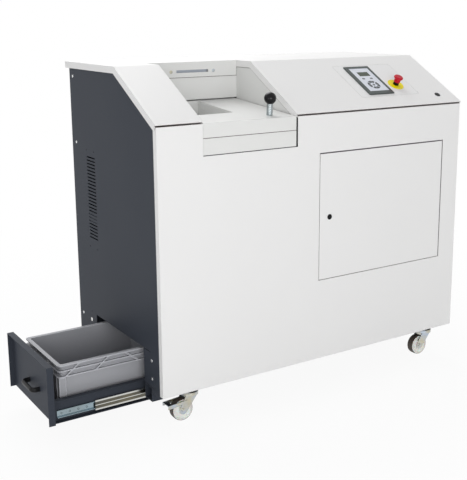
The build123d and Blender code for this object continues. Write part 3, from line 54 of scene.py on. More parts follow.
# Node graphs. Sums and products on a wire become Math nodes.
class Wire:
    def __init__(self, graph, socket):
        self.graph = graph
        self.socket = socket

    def math(self, operation, first, second):
        return self.graph.add("ShaderNodeMath", {"operation": operation}, {0: first, 1: second})["Value"]

    def __add__(self, other):
        return self.math("ADD", self, other)

    def __radd__(self, other):
        return self.math("ADD", other, self)

    def __sub__(self, other):
        return self.math("SUBTRACT", self, other)

    def __rsub__(self, other):
        return self.math("SUBTRACT", other, self)

    def __mul__(self, other):
        return self.math("MULTIPLY", self, other)

    def __rmul__(self, other):
        return self.math("MULTIPLY", other, self)

    def __truediv__(self, other):
        return self.math("DIVIDE", self, other)

    def __rtruediv__(self, other):
        return self.math("DIVIDE", other, self)

    def __gt__(self, other):
        return self.math("GREATER_THAN", self, other)

    def __lt__(self, other):
        return self.math("LESS_THAN", self, other)

    def __mod__(self, other):
        return self.math("FLOORED_MODULO", self, other)

    def __rmod__(self, other):
        return self.math("FLOORED_MODULO", other, self)


class Added:
    def __init__(self, graph, node):
        self.graph = graph
        self.node = node

    def __getitem__(self, name):
        if isinstance(name, str):
            return Wire(self.graph, next(socket for socket in self.node.outputs
                                         if socket.name == name and socket.enabled))
        return Wire(self.graph, self.node.outputs[name])


class Graph:
    def __init__(self, tree):
        self.tree = tree

    def add(self, kind, settings=None, sockets=None):
        node = self.tree.nodes.new(kind)
        for name, value in (settings or {}).items():
            if name == "stops":
                setStops(node.color_ramp, value)
            else:
                setattr(node, name, value)
        for name, value in (sockets or {}).items():
            if isinstance(value, Wire):
                self.tree.links.new(value.socket, node.inputs[name])
            else:
                node.inputs[name].default_value = value
        return Added(self, node)


def setStops(ramp, stops):
    while len(ramp.elements) < len(stops):
        ramp.elements.new(1.0)
    for element, (place, colour) in zip(ramp.elements, stops):
        element.position = place
        element.color = colour


def rgba(colour):
    return (*colour, 1.0)


def shade(colour, share):
    return tuple(min(1.0, channel * share) for channel in colour)


class Finish(Graph):
    # one material: Principled surface, object coordinates in metres, a softened edge normal
    def __init__(self, name, edgeRadius):
        self.material = bpy.data.materials.new(name)
        self.material.use_nodes = True
        super().__init__(self.material.node_tree)
        self.tree.nodes.clear()
        self.surface = self.tree.nodes.new("ShaderNodeBsdfPrincipled")
        output = self.tree.nodes.new("ShaderNodeOutputMaterial")
        self.tree.links.new(self.surface.outputs["BSDF"], output.inputs["Surface"])
        self.place = self.add("ShaderNodeTexCoord")["Object"]
        self.edge = self.add("ShaderNodeBevel", {"samples": 4}, {"Radius": edgeRadius})["Normal"]

    def noise(self, scale, detail=2.0, roughness=0.5, place=None):
        sockets = {"Vector": place or self.place, "Scale": scale, "Detail": detail, "Roughness": roughness}
        return self.add("ShaderNodeTexNoise", {}, sockets)["Fac"]

    def stretched(self, scales):
        return self.add("ShaderNodeMapping", {}, {"Vector": self.place, "Scale": scales})["Vector"]

    def ramp(self, fac, low, high):
        stops = [(low, (0, 0, 0, 1)), (high, (1, 1, 1, 1))]
        return self.add("ShaderNodeValToRGB", {"stops": stops}, {"Fac": fac})["Color"]

    def mix(self, factor, first, second):
        sockets = {0: factor, 6: first, 7: second}
        return self.add("ShaderNodeMix", {"data_type": "RGBA"}, sockets)[2]

    def axis(self, name):
        return self.add("ShaderNodeSeparateXYZ", {}, {"Vector": self.place})[name]

    def crevice(self, distance):
        # near one deep in seams, zero on open faces; it marks where shade is painted into a colour
        openness = self.add("ShaderNodeAmbientOcclusion", {"samples": 8}, {"Distance": distance})["AO"]
        return self.ramp(1.0 - openness, low=0.45, high=0.90)

    def edgeWearAndHighlight(self, radius):
        # near one on sharp edges, zero on flat faces
        rounded = self.add("ShaderNodeBevel", {"samples": 4}, {"Radius": radius})["Normal"]
        flat = self.add("ShaderNodeNewGeometry")["Normal"]
        along = self.add("ShaderNodeVectorMath", {"operation": "DOT_PRODUCT"}, {0: rounded, 1: flat})["Value"]
        return self.ramp(1.0 - along, low=0.01, high=0.14)

    def clouded(self, factor, settings):
        # the finish's own colour, a little darker and paler in soft clouds
        dark, pale = (shade(settings["colour"], 1 + sign * settings["cloud"]) for sign in (-1, 1))
        return self.mix(factor, rgba(dark), rgba(pale))

    def bump(self, height, distance, strength):
        sockets = {"Height": height, "Distance": distance, "Strength": strength, "Normal": self.edge}
        return self.add("ShaderNodeBump", {}, sockets)["Normal"]

    def set(self, **values):
        names = {"colour": "Base Color", "rough": "Roughness", "metal": "Metallic", "normal": "Normal",
                 "specular": "Specular IOR Level", "soft": "Subsurface Weight",
                 "softScale": "Subsurface Scale"}
        for name, value in values.items():
            socket = self.surface.inputs[names[name]]
            if isinstance(value, Wire):
                self.tree.links.new(value.socket, socket)
            else:
                socket.default_value = value
        return self.material


# Places are given in millimetres from the cabinet's left front floor corner, as in the part
cabinetCorner = Vector((-458.5, -339.25, 0))
slope = {"edgeHeight": 994.0, "rise": 156, "run": 276}
slopeAngle = math.atan(slope["rise"] / slope["run"])


def cabinetPoint(x, y, z):
    return (cabinetCorner + Vector((x, y, z))) * mm


def slopePoint(across, upSlope, proud):
    # a place on the hood's sloping front, or standing proud of it
    sine, cosine = math.sin(slopeAngle), math.cos(slopeAngle)
    return cabinetPoint(across, upSlope * cosine - proud * sine,
                        slope["edgeHeight"] + upSlope * sine + proud * cosine)


# Finishes
def powderCoat(name, settings):
    coat = Finish(name, settings["edge"])
    broad = coat.noise(settings["cloudScale"], detail=3.0)
    grain = coat.noise(settings["grainScale"], detail=2.0, roughness=0.6)
    peel = coat.noise(settings["peelScale"], detail=1.0)
    speck = coat.mix(coat.ramp(grain, low=0.62, high=0.75) * settings["speck"],
                     coat.clouded(broad, settings), rgba(shade(settings["colour"], settings["speckShade"])))
    # painted shade: the colour darkens deep in seams and creases
    tone = coat.mix(coat.crevice(settings["seam"]) * settings["grime"], speck, rgba(settings["grimeColour"]))
    height = grain * settings["grainHeight"] + peel * settings["peelHeight"]
    return coat.set(colour=tone, rough=settings["rough"] + (broad - 0.5) * settings["roughSpread"],
                    specular=settings["specular"],
                    normal=coat.bump(height, distance=0.1 * mm, strength=settings["bump"]))


# the seam keys give how far into the seams shade is painted, how strongly and in what colour
whiteCoat = {"colour": (0.810, 0.806, 0.800), "edge": 1.2 * mm, "cloudScale": 2.2, "cloud": 0.012,
             "grainScale": 1500, "peelScale": 420, "grainHeight": 0.35, "peelHeight": 0.8, "bump": 0.35,
             "speck": 0.12, "speckShade": 0.93, "rough": 0.42, "roughSpread": 0.10, "specular": 0.45,
             "seam": 9 * mm, "grime": 0.8, "grimeColour": (0.10, 0.075, 0.07)}
darkCoat = {"colour": (0.037, 0.043, 0.056), "edge": 1.2 * mm, "cloudScale": 3.0, "cloud": 0.05,
            "grainScale": 1100, "peelScale": 300, "grainHeight": 1.0, "peelHeight": 0.6, "bump": 0.55,
            "speck": 0.35, "speckShade": 1.35, "rough": 0.55, "roughSpread": 0.12, "specular": 0.14,
            "seam": 9 * mm, "grime": 0.7, "grimeColour": (0.010, 0.010, 0.012)}


def platedSteel(name, settings):
    plate = Finish(name, settings["edge"])
    patch = plate.noise(settings["patchScale"], detail=4.0, roughness=0.55)
    streak = plate.noise(settings["streakScale"], detail=3.0, roughness=0.6,
                         place=plate.stretched(settings["streakShape"]))
    spangle = plate.noise(settings["spangleScale"], detail=1.0)
    tint = plate.mix(plate.ramp(patch, low=0.38, high=0.64), rgba(settings["cool"]), rgba(settings["warm"]))
    tone = plate.mix(plate.ramp(streak, low=0.35, high=0.75) * settings["streakTone"], tint,
                     rgba(shade(settings["cool"], plateSurface["streakShade"])))
    rough = (settings["rough"] + (streak - 0.5) * settings["roughSpread"]
             + (spangle - 0.5) * plateSurface["spangleRough"])
    height = streak * plateSurface["streakHeight"] + spangle * plateSurface["spangleHeight"]
    return plate.set(colour=tone, metal=1.0, rough=rough,
                     normal=plate.bump(height, distance=0.08 * mm, strength=settings["bump"]))


plateSurface = {"streakShade": 0.62, "spangleRough": 0.08, "streakHeight": 0.7, "spangleHeight": 0.5}
zincPlating = {"edge": 0.6 * mm, "patchScale": 30, "streakScale": 40, "streakShape": (1, 1, 6),
               "spangleScale": 900, "cool": (0.52, 0.58, 0.66), "warm": (0.60, 0.55, 0.40),
               "streakTone": 0.45, "rough": 0.30, "roughSpread": 0.18, "bump": 0.35}
toolSteel = {"edge": 0.5 * mm, "patchScale": 18, "streakScale": 60, "streakShape": (1, 8, 1),
             "spangleScale": 700, "cool": (0.36, 0.37, 0.39), "warm": (0.42, 0.39, 0.35),
             "streakTone": 0.45, "rough": 0.38, "roughSpread": 0.22, "bump": 0.5}
brightSteel = {"edge": 0.4 * mm, "patchScale": 12, "streakScale": 30, "streakShape": (1, 1, 30),
               "spangleScale": 500, "cool": (0.78, 0.79, 0.80), "warm": (0.72, 0.71, 0.69),
               "streakTone": 0.25, "rough": 0.16, "roughSpread": 0.10, "bump": 0.2}
slideSteel = {"edge": 0.4 * mm, "patchScale": 9, "streakScale": 26, "streakShape": (0.15, 1, 9),
              "spangleScale": 800, "cool": (0.34, 0.44, 0.50), "warm": (0.30, 0.36, 0.38),
              "streakTone": 0.5, "rough": 0.24, "roughSpread": 0.14, "bump": 0.3}
# the middle members' steel is painted dark for the shade under the drawer, with a pale colour painted as
# highlight on its rolled edges
middleSlideSteel = {**slideSteel, "cool": (0.10, 0.10, 0.09), "warm": (0.17, 0.155, 0.11), "rough": 0.26,
                    "middle": 101.4 * mm, "bright": (0.66, 0.66, 0.63), "bead": 1.3 * mm,
                    "rolledFrom": 10.5 * mm, "rolledTo": 12.5 * mm}


def mouldedPlastic(name, settings):
    resin = Finish(name, settings["edge"])
    broad = resin.noise(settings["cloudScale"], detail=3.0)
    grain = resin.noise(settings["grainScale"], detail=2.0)
    scuff = resin.noise(settings["scuffScale"], detail=5.0, roughness=0.7,
                        place=resin.stretched(settings["scuffShape"]))
    tone = resin.mix(resin.ramp(scuff, low=0.60, high=0.72) * settings["scuff"],
                     resin.clouded(broad, settings), rgba(shade(settings["colour"], settings["scuffShade"])))
    if "edgeShade" in settings:
        # painted shade darkens the corners; the edges are paler from wear and a painted highlight
        tone = resin.mix(resin.crevice(settings["seam"]) * settings["grime"], tone,
                         rgba(shade(settings["colour"], settings["grimeShade"])))
        tone = resin.mix(resin.edgeWearAndHighlight(settings["edgeWidth"]), tone,
                         rgba(shade(settings["colour"], settings["edgeShade"])))
    return resin.set(colour=tone, rough=settings["rough"] + (scuff - 0.5) * settings["roughSpread"],
                     specular=settings["specular"], soft=settings["soft"], softScale=4 * mm,
                     normal=resin.bump(grain, distance=0.08 * mm, strength=settings["bump"]))


plainPlastic = {"edge": 0.6 * mm, "cloudScale": 20, "grainScale": 900, "scuffShape": (1, 1, 1),
                "roughSpread": 0.1, "specular": 0.5, "soft": 0.0}
# the seam keys paint shade into the container's corners; the edge keys make its edges paler for wear and a
# painted highlight
greyContainer = {**plainPlastic, "colour": (0.35, 0.355, 0.378), "edge": 0.8 * mm, "cloudScale": 6,
                 "cloud": 0.03, "scuffScale": 14, "scuffShape": (1, 1, 5), "scuff": 0.25,
                 "scuffShade": 1.25, "rough": 0.42, "roughSpread": 0.2, "bump": 0.35, "edgeShade": 2.1,
                 "edgeWidth": 3.0 * mm, "seam": 14 * mm, "grime": 0.8, "grimeShade": 0.3}
blackResin = {**plainPlastic, "colour": (0.004, 0.004, 0.005), "edge": 0.5 * mm, "cloudScale": 9,
              "cloud": 0.05, "grainScale": 700, "scuffScale": 60, "scuff": 0.15, "scuffShade": 2.0,
              "rough": 0.04, "roughSpread": 0.02, "bump": 0.02, "specular": 0.2}
darkBezel = {**plainPlastic, "colour": (0.034, 0.048, 0.046), "cloud": 0.03, "grainScale": 1300,
             "scuffScale": 40, "scuff": 0.2, "scuffShade": 1.3, "rough": 0.42, "bump": 0.4}
yellowDisc = {**plainPlastic, "colour": (0.86, 0.74, 0.0), "edge": 0.3 * mm, "cloud": 0.02,
              "scuffScale": 80, "scuff": 0.1, "scuffShade": 0.8, "rough": 0.38, "bump": 0.2,
              "specular": 0.2}
redHead = {**plainPlastic, "colour": (0.50, 0.008, 0.024), "cloud": 0.04, "scuffScale": 80,
           "scuff": 0.1, "scuffShade": 1.3, "rough": 0.34, "bump": 0.1, "specular": 0.2}
whiteNylon = {**plainPlastic, "colour": (0.86, 0.86, 0.82), "edge": 0.8 * mm, "cloudScale": 25,
              "cloud": 0.04, "scuffScale": 50, "scuffShape": (1, 4, 1), "scuff": 0.12,
              "scuffShade": 0.80, "rough": 0.38, "roughSpread": 0.15, "bump": 0.3, "soft": 0.15}
greyCasting = {**plainPlastic, "colour": (0.13, 0.145, 0.16), "edge": 1.5 * mm, "cloudScale": 12,
               "cloud": 0.08, "grainScale": 380, "scuffScale": 30, "scuff": 0.35, "scuffShade": 1.4,
               "rough": 0.5, "roughSpread": 0.15, "bump": 1.0}

keypadLook = {"edge": 0.2 * mm, "grainScale": 1300, "cloudScale": 30, "keyStart": 3.1 * mm,
              "dark": (0.66, 0.69, 0.76), "pale": (0.71, 0.74, 0.80), "key": (0.016, 0.022, 0.026),
              "rough": 0.34, "roughSpread": 0.08, "bump": 0.3}


def keypadFilm():
    # pale film; the keys stand proud of it and are dark
    film = Finish("keypadFilm", keypadLook["edge"])
    grain = film.noise(keypadLook["grainScale"], detail=2.0)
    cloud = film.noise(keypadLook["cloudScale"], detail=3.0)
    sine, cosine = math.sin(slopeAngle), math.cos(slopeAngle)
    corner = slopePoint(0, 0, 0)
    proud = film.axis("Z") * cosine - film.axis("Y") * sine
    onKey = proud > corner.z * cosine - corner.y * sine + keypadLook["keyStart"]
    pale = film.mix(cloud, rgba(keypadLook["dark"]), rgba(keypadLook["pale"]))
    return film.set(colour=film.mix(onKey, pale, rgba(keypadLook["key"])),
                    rough=keypadLook["rough"] + grain * keypadLook["roughSpread"], specular=0.5,
                    normal=film.bump(grain, distance=0.06 * mm, strength=keypadLook["bump"]))


finishes = {
    "panel_white": powderCoat("whitePowderCoat", whiteCoat),
    "insert_grey": powderCoat("insertCoat", {**whiteCoat, "colour": (0.795, 0.795, 0.792), "cloudScale": 6}),
    "anthracite": powderCoat("anthracitePowderCoat", darkCoat),
    "zinc": platedSteel("zincPlating", zincPlating),
    "tool_steel": platedSteel("toolSteel", toolSteel),
    "bright_steel": platedSteel("brightSteel", brightSteel),
    "container_grey": mouldedPlastic("containerPlastic", greyContainer),
    "black_plastic": mouldedPlastic("blackResin", blackResin),
    "black_metal": powderCoat("blackHandleCoat", {**darkCoat, "colour": (0.012, 0.012, 0.013),
                                                  "rough": 0.34}),
    "bezel_dark": mouldedPlastic("bezelMoulding", darkBezel),
    "keypad_light": keypadFilm(),
    "display_glass": mouldedPlastic("displayWindow", {**darkBezel, "colour": (0.050, 0.066, 0.044),
                                                      "rough": 0.10, "specular": 0.25}),
    "stop_yellow": mouldedPlastic("stopDiscPlastic", yellowDisc),
    "stop_red": mouldedPlastic("stopHeadPlastic", redHead),
    "wheel_white": mouldedPlastic("wheelNylon", whiteNylon),
    "gearbox_grey": mouldedPlastic("paintedCasting", greyCasting),
}
slideMetal = platedSteel("slideSteel", slideSteel)
print("finishes made:", len(finishes) + 1)


def dress(nodeName, material):
    mesh = nodes[nodeName].data
    mesh.materials.clear()
    mesh.materials.append(material)


for row in frame["record"]["subparts"]:
    dress(row["node"], finishes[row["material_slot"]])
for name in ("cabinet_slide_members", "middle_slide_members", "drawer_slide_members"):
    dress(name, slideMetal)


def overlaid(material, colour, maskOf):
    # the same finish with another colour where the mask is one; the mask is made from the place
    graph = Graph(material.node_tree)
    surface = next(node for node in graph.tree.nodes if node.type == "BSDF_PRINCIPLED")
    under = Wire(graph, surface.inputs["Base Color"].links[0].from_socket)
    spot = graph.add("ShaderNodeSeparateXYZ", {}, {0: graph.add("ShaderNodeTexCoord")["Object"]})
    sockets = {0: maskOf(graph, spot), 6: under, 7: rgba(colour)}
    tone = graph.add("ShaderNodeMix", {"data_type": "RGBA"}, sockets)[2]
    graph.tree.links.new(tone.socket, surface.inputs["Base Color"])
    return material


def rolledEdgeHighlights(graph, spot):
    # painted highlights on the rolled edges and middle bead of the middle slide members
    height = spot["Z"] - middleSlideSteel["middle"]
    offset = graph.add("ShaderNodeMath", {"operation": "ABSOLUTE"}, {0: height})["Value"]
    edges = graph.add("ShaderNodeMapRange", {}, {"Value": offset, "From Min": middleSlideSteel["rolledFrom"],
                                                 "From Max": middleSlideSteel["rolledTo"]})["Result"]
    return edges + (offset < middleSlideSteel["bead"])


dress("middle_slide_members", overlaid(platedSteel("middleSlideSteel", middleSlideSteel),
                                       middleSlideSteel["bright"], rolledEdgeHighlights))
print("nodes dressed")


# Geometry groups: every one takes a mesh of seats or outlines and gives a plain mesh
mergeDistance = 0.002 * mm
seeds = {"seatTurn": 7, "beadSwell": 3}


class Shape(Graph):
    def __init__(self, name, inputs):
        super().__init__(bpy.data.node_groups.new(name, "GeometryNodeTree"))
        face = self.tree.interface
        face.new_socket("Geometry", in_out="OUTPUT", socket_type="NodeSocketGeometry")
        face.new_socket("Geometry", in_out="INPUT", socket_type="NodeSocketGeometry")
        self.keys = {}
        for label, kind in inputs.items():
            socket = face.new_socket(label, in_out="INPUT", socket_type="NodeSocket" + kind)
            self.keys[label] = socket.identifier
        self.given = self.add("NodeGroupInput")

    def named(self, label, kind):
        return self.add("GeometryNodeInputNamedAttribute", {"data_type": kind}, {"Name": label})["Attribute"]

    def vector(self, x, y, z):
        return self.add("ShaderNodeCombineXYZ", {}, {0: x, 1: y, 2: z})["Vector"]

    def drawn(self, name, points):
        # an outline comes in through an object that isn't in the scene
        holder = bpy.data.objects.new(name, pointMesh(name, points))
        return self.add("GeometryNodeObjectInfo", {}, {"Object": holder})["Geometry"]

    def turned(self, outline, segments):
        # the outline's vertices hold radius in x and height in y; they are turned about z
        count = self.add("GeometryNodeAttributeDomainSize", {"component": "MESH"},
                         {"Geometry": outline})["Point Count"]
        grid = self.add("GeometryNodeMeshGrid", {}, {"Vertices X": segments + 1, "Vertices Y": count})["Mesh"]
        index = self.add("GeometryNodeInputIndex")["Index"]
        rowIndex = index % count
        column = self.add("ShaderNodeMath", {"operation": "FLOOR"}, {0: (index + 0.5) / count})["Value"]
        spot = self.add("GeometryNodeInputPosition")["Position"]
        sampled = self.add("GeometryNodeSampleIndex", {"data_type": "FLOAT_VECTOR"},
                           {"Geometry": outline, "Value": spot, "Index": rowIndex})["Value"]
        parts = self.add("ShaderNodeSeparateXYZ", {}, {0: sampled})
        angle = column * math.tau / segments
        cosine = self.add("ShaderNodeMath", {"operation": "COSINE"}, {0: angle})["Value"]
        sine = self.add("ShaderNodeMath", {"operation": "SINE"}, {0: angle})["Value"]
        place = self.vector(parts["X"] * cosine, parts["X"] * sine, parts["Y"])
        shaped = self.add("GeometryNodeSetPosition", {}, {"Geometry": grid, "Position": place})["Geometry"]
        return self.add("GeometryNodeMergeByDistance", {},
                        {"Geometry": shaped, "Distance": mergeDistance})["Geometry"]

    def seated(self, instance):
        # one copy on each given seat, its z along the seat's aim, turned at random about it
        aim = self.named("aim", "FLOAT_VECTOR")
        size = self.named("size", "FLOAT")
        level = self.add("FunctionNodeAlignRotationToVector", {"axis": "Z"}, {"Vector": aim})["Rotation"]
        chance = self.add("FunctionNodeRandomValue", {"data_type": "FLOAT"},
                          {"Min": 0.0, "Max": math.tau, "Seed": seeds["seatTurn"]})["Value"]
        twist = self.add("FunctionNodeAxisAngleToRotation", {},
                         {"Axis": (0, 0, 1), "Angle": chance})["Rotation"]
        rotation = self.add("FunctionNodeRotateRotation", {"rotation_space": "LOCAL"},
                            {"Rotation": level, "Rotate By": twist})["Rotation"]
        return self.add("GeometryNodeInstanceOnPoints", {},
                        {"Points": self.given["Geometry"], "Instance": instance, "Rotation": rotation,
                         "Scale": size})["Instances"]

    def close(self, geometry):
        real = self.add("GeometryNodeRealizeInstances", {}, {"Geometry": geometry})["Geometry"]
        dressed = self.add("GeometryNodeSetMaterial", {},
                           {"Geometry": real, "Material": self.given["Material"]})["Geometry"]
        self.add("NodeGroupOutput", {}, {"Geometry": dressed})
        return self


def pointMesh(name, places, edges=(), aims=None, sizes=None):
    mesh = bpy.data.meshes.new(name)
    mesh.from_pydata([tuple(place) for place in places], list(edges), [])
    if aims:
        values = mesh.attributes.new("aim", "FLOAT_VECTOR", "POINT").data
        for value, aim in zip(values, aims):
            value.vector = aim
    if sizes:
        values = mesh.attributes.new("size", "FLOAT", "POINT").data
        for value, size in zip(values, sizes):
            value.value = size
    return mesh


def grown(name, mesh, shape, values, body, material, matrix=None):
    piece = bpy.data.objects.new(name, mesh)
    bpy.context.scene.collection.objects.link(piece)
    modifier = piece.modifiers.new("grown", "NODES")
    modifier.node_group = shape.tree
    for label, value in {**values, "Material": material}.items():
        modifier[shape.keys[label]] = value
    depsgraph = bpy.context.evaluated_depsgraph_get()
    plain = bpy.data.meshes.new_from_object(piece.evaluated_get(depsgraph), depsgraph=depsgraph)
    piece.modifiers.remove(modifier)
    piece.data = plain
    plain.name = name
    if matrix:
        plain.transform(matrix)
    tidyMesh(plain)
    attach(piece, body)
    return piece


def tidyMesh(mesh, sharpAngle=32):
    shell = bmesh.new()
    shell.from_mesh(mesh)
    bmesh.ops.recalc_face_normals(shell, faces=shell.faces)
    for face in shell.faces:
        face.smooth = True
    for edge in shell.edges:
        edge.smooth = len(edge.link_faces) == 2 and edge.calc_face_angle(0.0) < math.radians(sharpAngle)
    shell.to_mesh(mesh)
    shell.free()


def ownPiece(name, shell, body, material):
    mesh = bpy.data.meshes.new(name)
    shell.to_mesh(mesh)
    shell.free()
    mesh.materials.append(material)
    tidyMesh(mesh)
    piece = bpy.data.objects.new(name, mesh)
    bpy.context.scene.collection.objects.link(piece)
    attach(piece, body)
    return piece


def islands(nodeName):
    # boxes of the separate solids of a CAD node, in the same order on every run
    shell = bmesh.new()
    shell.from_mesh(nodes[nodeName].data)
    shell.transform(nodes[nodeName].matrix_world)
    bmesh.ops.remove_doubles(shell, verts=shell.verts, dist=0.01 * mm)
    left = set(shell.verts)
    boxes = []
    while left:
        front = [left.pop()]
        found = []
        while front:
            vertex = front.pop()
            found.append(vertex.co.copy())
            for edge in vertex.link_edges:
                other = edge.other_vert(vertex)
                if other in left:
                    left.remove(other)
                    front.append(other)
        low = Vector([min(spot[axis] for spot in found) for axis in range(3)])
        high = Vector([max(spot[axis] for spot in found) for axis in range(3)])
        boxes.append((low, high))
    shell.free()
    return sorted(boxes, key=lambda box: tuple(box[0]))


# Screws: a chamfered head with a hexagon socket, in shares of the head's radius
screwOutline = [(0, 0), (1, 0), (1, 0.62), (0.96, 0.80), (0.86, 0.95), (0.74, 1.0), (0, 1.0)]
screwSizes = {"segments": 36, "socketShare": 0.46, "socketDepth": 0.72, "panelHeight": 3 / 7,
              "panelMiddle": 625, "slotHeight": 0.4, "slotGrowth": 1.4}


def screwShape(heightShare):
    shape = Shape("screwHeads", {"Segments": "Int", "Socket Share": "Float", "Material": "Material"})
    points = [(radius, height * heightShare, 0) for radius, height in screwOutline]
    head = shape.turned(shape.drawn("screwOutline", points), shape.given["Segments"])
    depth = heightShare * screwSizes["socketDepth"]
    prism = shape.add("GeometryNodeMeshCylinder", {},
                      {"Vertices": 6, "Radius": shape.given["Socket Share"], "Depth": 2 * depth})["Mesh"]
    lifted = shape.add("GeometryNodeTransform", {},
                       {"Geometry": prism, "Translation": (0, 0, heightShare)})["Geometry"]
    cut = shape.add("GeometryNodeMeshBoolean", {"operation": "DIFFERENCE"},
                    {"Mesh 1": head, "Mesh 2": lifted})["Mesh"]
    return shape.close(shape.seated(cut))


def panelScrews():
    places, aims, sizes = [], [], []
    for low, high in islands("panel_screws"):
        middle = (low + high) / 2
        outward = -1 if middle.x < cabinetPoint(screwSizes["panelMiddle"], 0, 0).x else 1
        seat = high.x if outward < 0 else low.x
        places.append((seat, middle.y, middle.z))
        aims.append((outward, 0, 0))
        sizes.append((high.z - low.z) / 2)
    mesh = pointMesh("panelScrewSeats", places, aims=aims, sizes=sizes)
    heads = grown("panelScrewHeads", mesh, screwShape(screwSizes["panelHeight"]),
                  {"Segments": screwSizes["segments"], "Socket Share": screwSizes["socketShare"]},
                  "cabinet", finishes["bright_steel"])
    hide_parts("panel_screws")


def slotScrews():
    places, aims, sizes = [], [], []
    for low, high in islands("slot_plate_screws"):
        middle = (low + high) / 2
        places.append((middle.x, high.y, middle.z))
        aims.append((0, -1, 0))
        sizes.append((high.z - low.z) / 2 * screwSizes["slotGrowth"])
    mesh = pointMesh("slotScrewSeats", places, aims=aims, sizes=sizes)
    heads = grown("slotScrewHeads", mesh, screwShape(screwSizes["slotHeight"]),
                  {"Segments": screwSizes["segments"], "Socket Share": screwSizes["socketShare"]},
                  "hood", finishes["zinc"])
    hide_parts("slot_plate_screws")


# Castor wheels: a white nylon core and a dark tread ring, each turned about the axle. The tread's dark brown
# stands for a dark tyre and for painted shade under the cabinet
wheelSizes = {"radius": 37.5, "width": 28.0, "bore": 5.05, "hub": 15.0, "dish": 6.0, "rim": 32.0,
              "tread": 35.4, "segments": 96}


def turnedShape():
    shape = Shape("turnedPart", {"Segments": "Int", "Material": "Material"})
    return shape.close(shape.turned(shape.given["Geometry"], shape.given["Segments"]))


def mirrored(side):
    # a closed outline from its upper half
    return side + [(radius, -height) for radius, height in reversed(side)] + [side[0]]


def coreOutline():
    half, dish = wheelSizes["width"] / 2, wheelSizes["dish"]
    rim, hub, bore, tread = (wheelSizes[key] for key in ("rim", "hub", "bore", "tread"))
    return mirrored([(bore, half), (hub - 1.4, half), (hub - 0.4, half - 0.4), (hub, half - 1.4),
                     (hub + 0.6, half - dish + 1.0), (hub + 1.8, half - dish), (rim - 2.2, half - dish),
                     (rim - 0.8, half - dish + 0.8), (rim, half - 1.6), (rim + 0.5, half - 0.5),
                     (rim + 1.5, half - 0.2), (tread - 0.8, half - 0.3), (tread, half - 1.2)])


def treadOutline():
    half, outer, tread = wheelSizes["width"] / 2, wheelSizes["radius"], wheelSizes["tread"]
    return mirrored([(tread, half - 1.4), (tread + 0.6, half - 0.7), (outer - 1.0, half - 1.3),
                     (outer - 0.6, half - 2.4), (outer - 0.3, half - 4.6), (outer - 0.1, half - 8.0),
                     (outer, half - 12.0)])


# dark brown tread: a tyre's own tone together with painted shade under the cabinet
darkTreadAndShade = {**plainPlastic, "colour": (0.085, 0.068, 0.055), "edge": 0.5 * mm, "cloudScale": 40,
               "cloud": 0.15, "grainScale": 1200, "scuffScale": 70, "scuffShape": (1, 3, 1), "scuff": 0.5,
               "scuffShade": 1.4, "rough": 0.62, "roughSpread": 0.15, "bump": 0.8}


def castorWheels():
    darkTread = mouldedPlastic("treadRubber", darkTreadAndShade)
    turned = turnedShape()
    for corner in ("front_left", "front_right", "rear_left", "rear_right"):
        cadName = "castor_wheel_" + corner
        low, high = (Vector(spot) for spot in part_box(cadName))
        middle = (low + high) / 2
        matrix = Matrix.Translation(middle) @ Matrix.Rotation(math.radians(90), 4, "X")
        pieces = []
        for label, outline, material in (("wheelCore_", coreOutline(), finishes["wheel_white"]),
                                         ("wheelTread_", treadOutline(), darkTread)):
            mesh = pointMesh(label + corner, [(radius * mm, height * mm, 0) for radius, height in outline])
            pieces.append(grown(label + corner, mesh, turned, {"Segments": wheelSizes["segments"]}, cadName,
                                material, matrix))
        for piece in pieces:
            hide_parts(cadName)


# Rows of rivets along the telescopic slides: the cabinet's face inwards, the drawer's outwards
slideRows = {"bayMiddle": 316, "web": 1.5, "lift": 0.02, "segments": 24,
             "drawer": {"count": 15, "radius": 3.1}, "cabinet": {"count": 9, "radius": 2.4}}
rivetOutline = [(0, -0.10), (0.72, -0.04), (0.80, 0.16), (0.94, 0.22), (1, 0.16), (1, 0), (0, -0.35)]


def slideShape():
    shape = Shape("slideRivets", {"Segments": "Int", "Material": "Material"})
    drawn = shape.drawn("rivetOutline", [(radius, height, 0) for radius, height in rivetOutline])
    return shape.close(shape.seated(shape.turned(drawn, shape.given["Segments"])))


def slideRivets():
    shape = slideShape()
    for body in ("drawer", "cabinet"):
        row = slideRows[body]
        places, aims = [], []
        for low, high in islands(body + "_slide_members"):
            leftSide = (low.y + high.y) / 2 < cabinetPoint(0, slideRows["bayMiddle"], 0).y
            aim = 1 if leftSide == (body == "cabinet") else -1
            web = (low.y if aim > 0 else high.y) + aim * slideRows["web"] * mm
            for step in range(row["count"]):
                share = (step + 0.5) / row["count"]
                places.append((low.x + (high.x - low.x) * share, web + aim * slideRows["lift"] * mm,
                               (low.z + high.z) / 2))
                aims.append((0, aim, 0))
        mesh = pointMesh(body + "SlideRivets", places, aims=aims, sizes=[row["radius"] * mm] * len(places))
        grown(body + "SlideRivets", mesh, shape, {"Segments": slideRows["segments"]}, body,
              finishes["black_metal"])


# Weld beads: overlapping ripples along the joints of the frame
beadSizes = {"pitch": 1.9, "radius": 2.6, "swell": (0.88, 1.08), "length": 0.85, "segments": 14, "rings": 8}
beadLines = [((45, 27, 145), (45, 61, 145)), ((8, 64, 145), (42, 64, 145)),
             ((1205, 27, 145), (1205, 61, 145)), ((1208, 64, 145), (1242, 64, 145)),
             ((45, 612, 145), (45, 646, 145)), ((8, 609, 145), (42, 609, 145)),
             ((1205, 612, 145), (1205, 646, 145)), ((1208, 609, 145), (1242, 609, 145)),
             ((45, 27, 640), (45, 61, 640)), ((45, 612, 640), (45, 646, 640)),
             ((1205, 612, 640), (1205, 646, 640)), ((1208, 609, 640), (1242, 609, 640))]


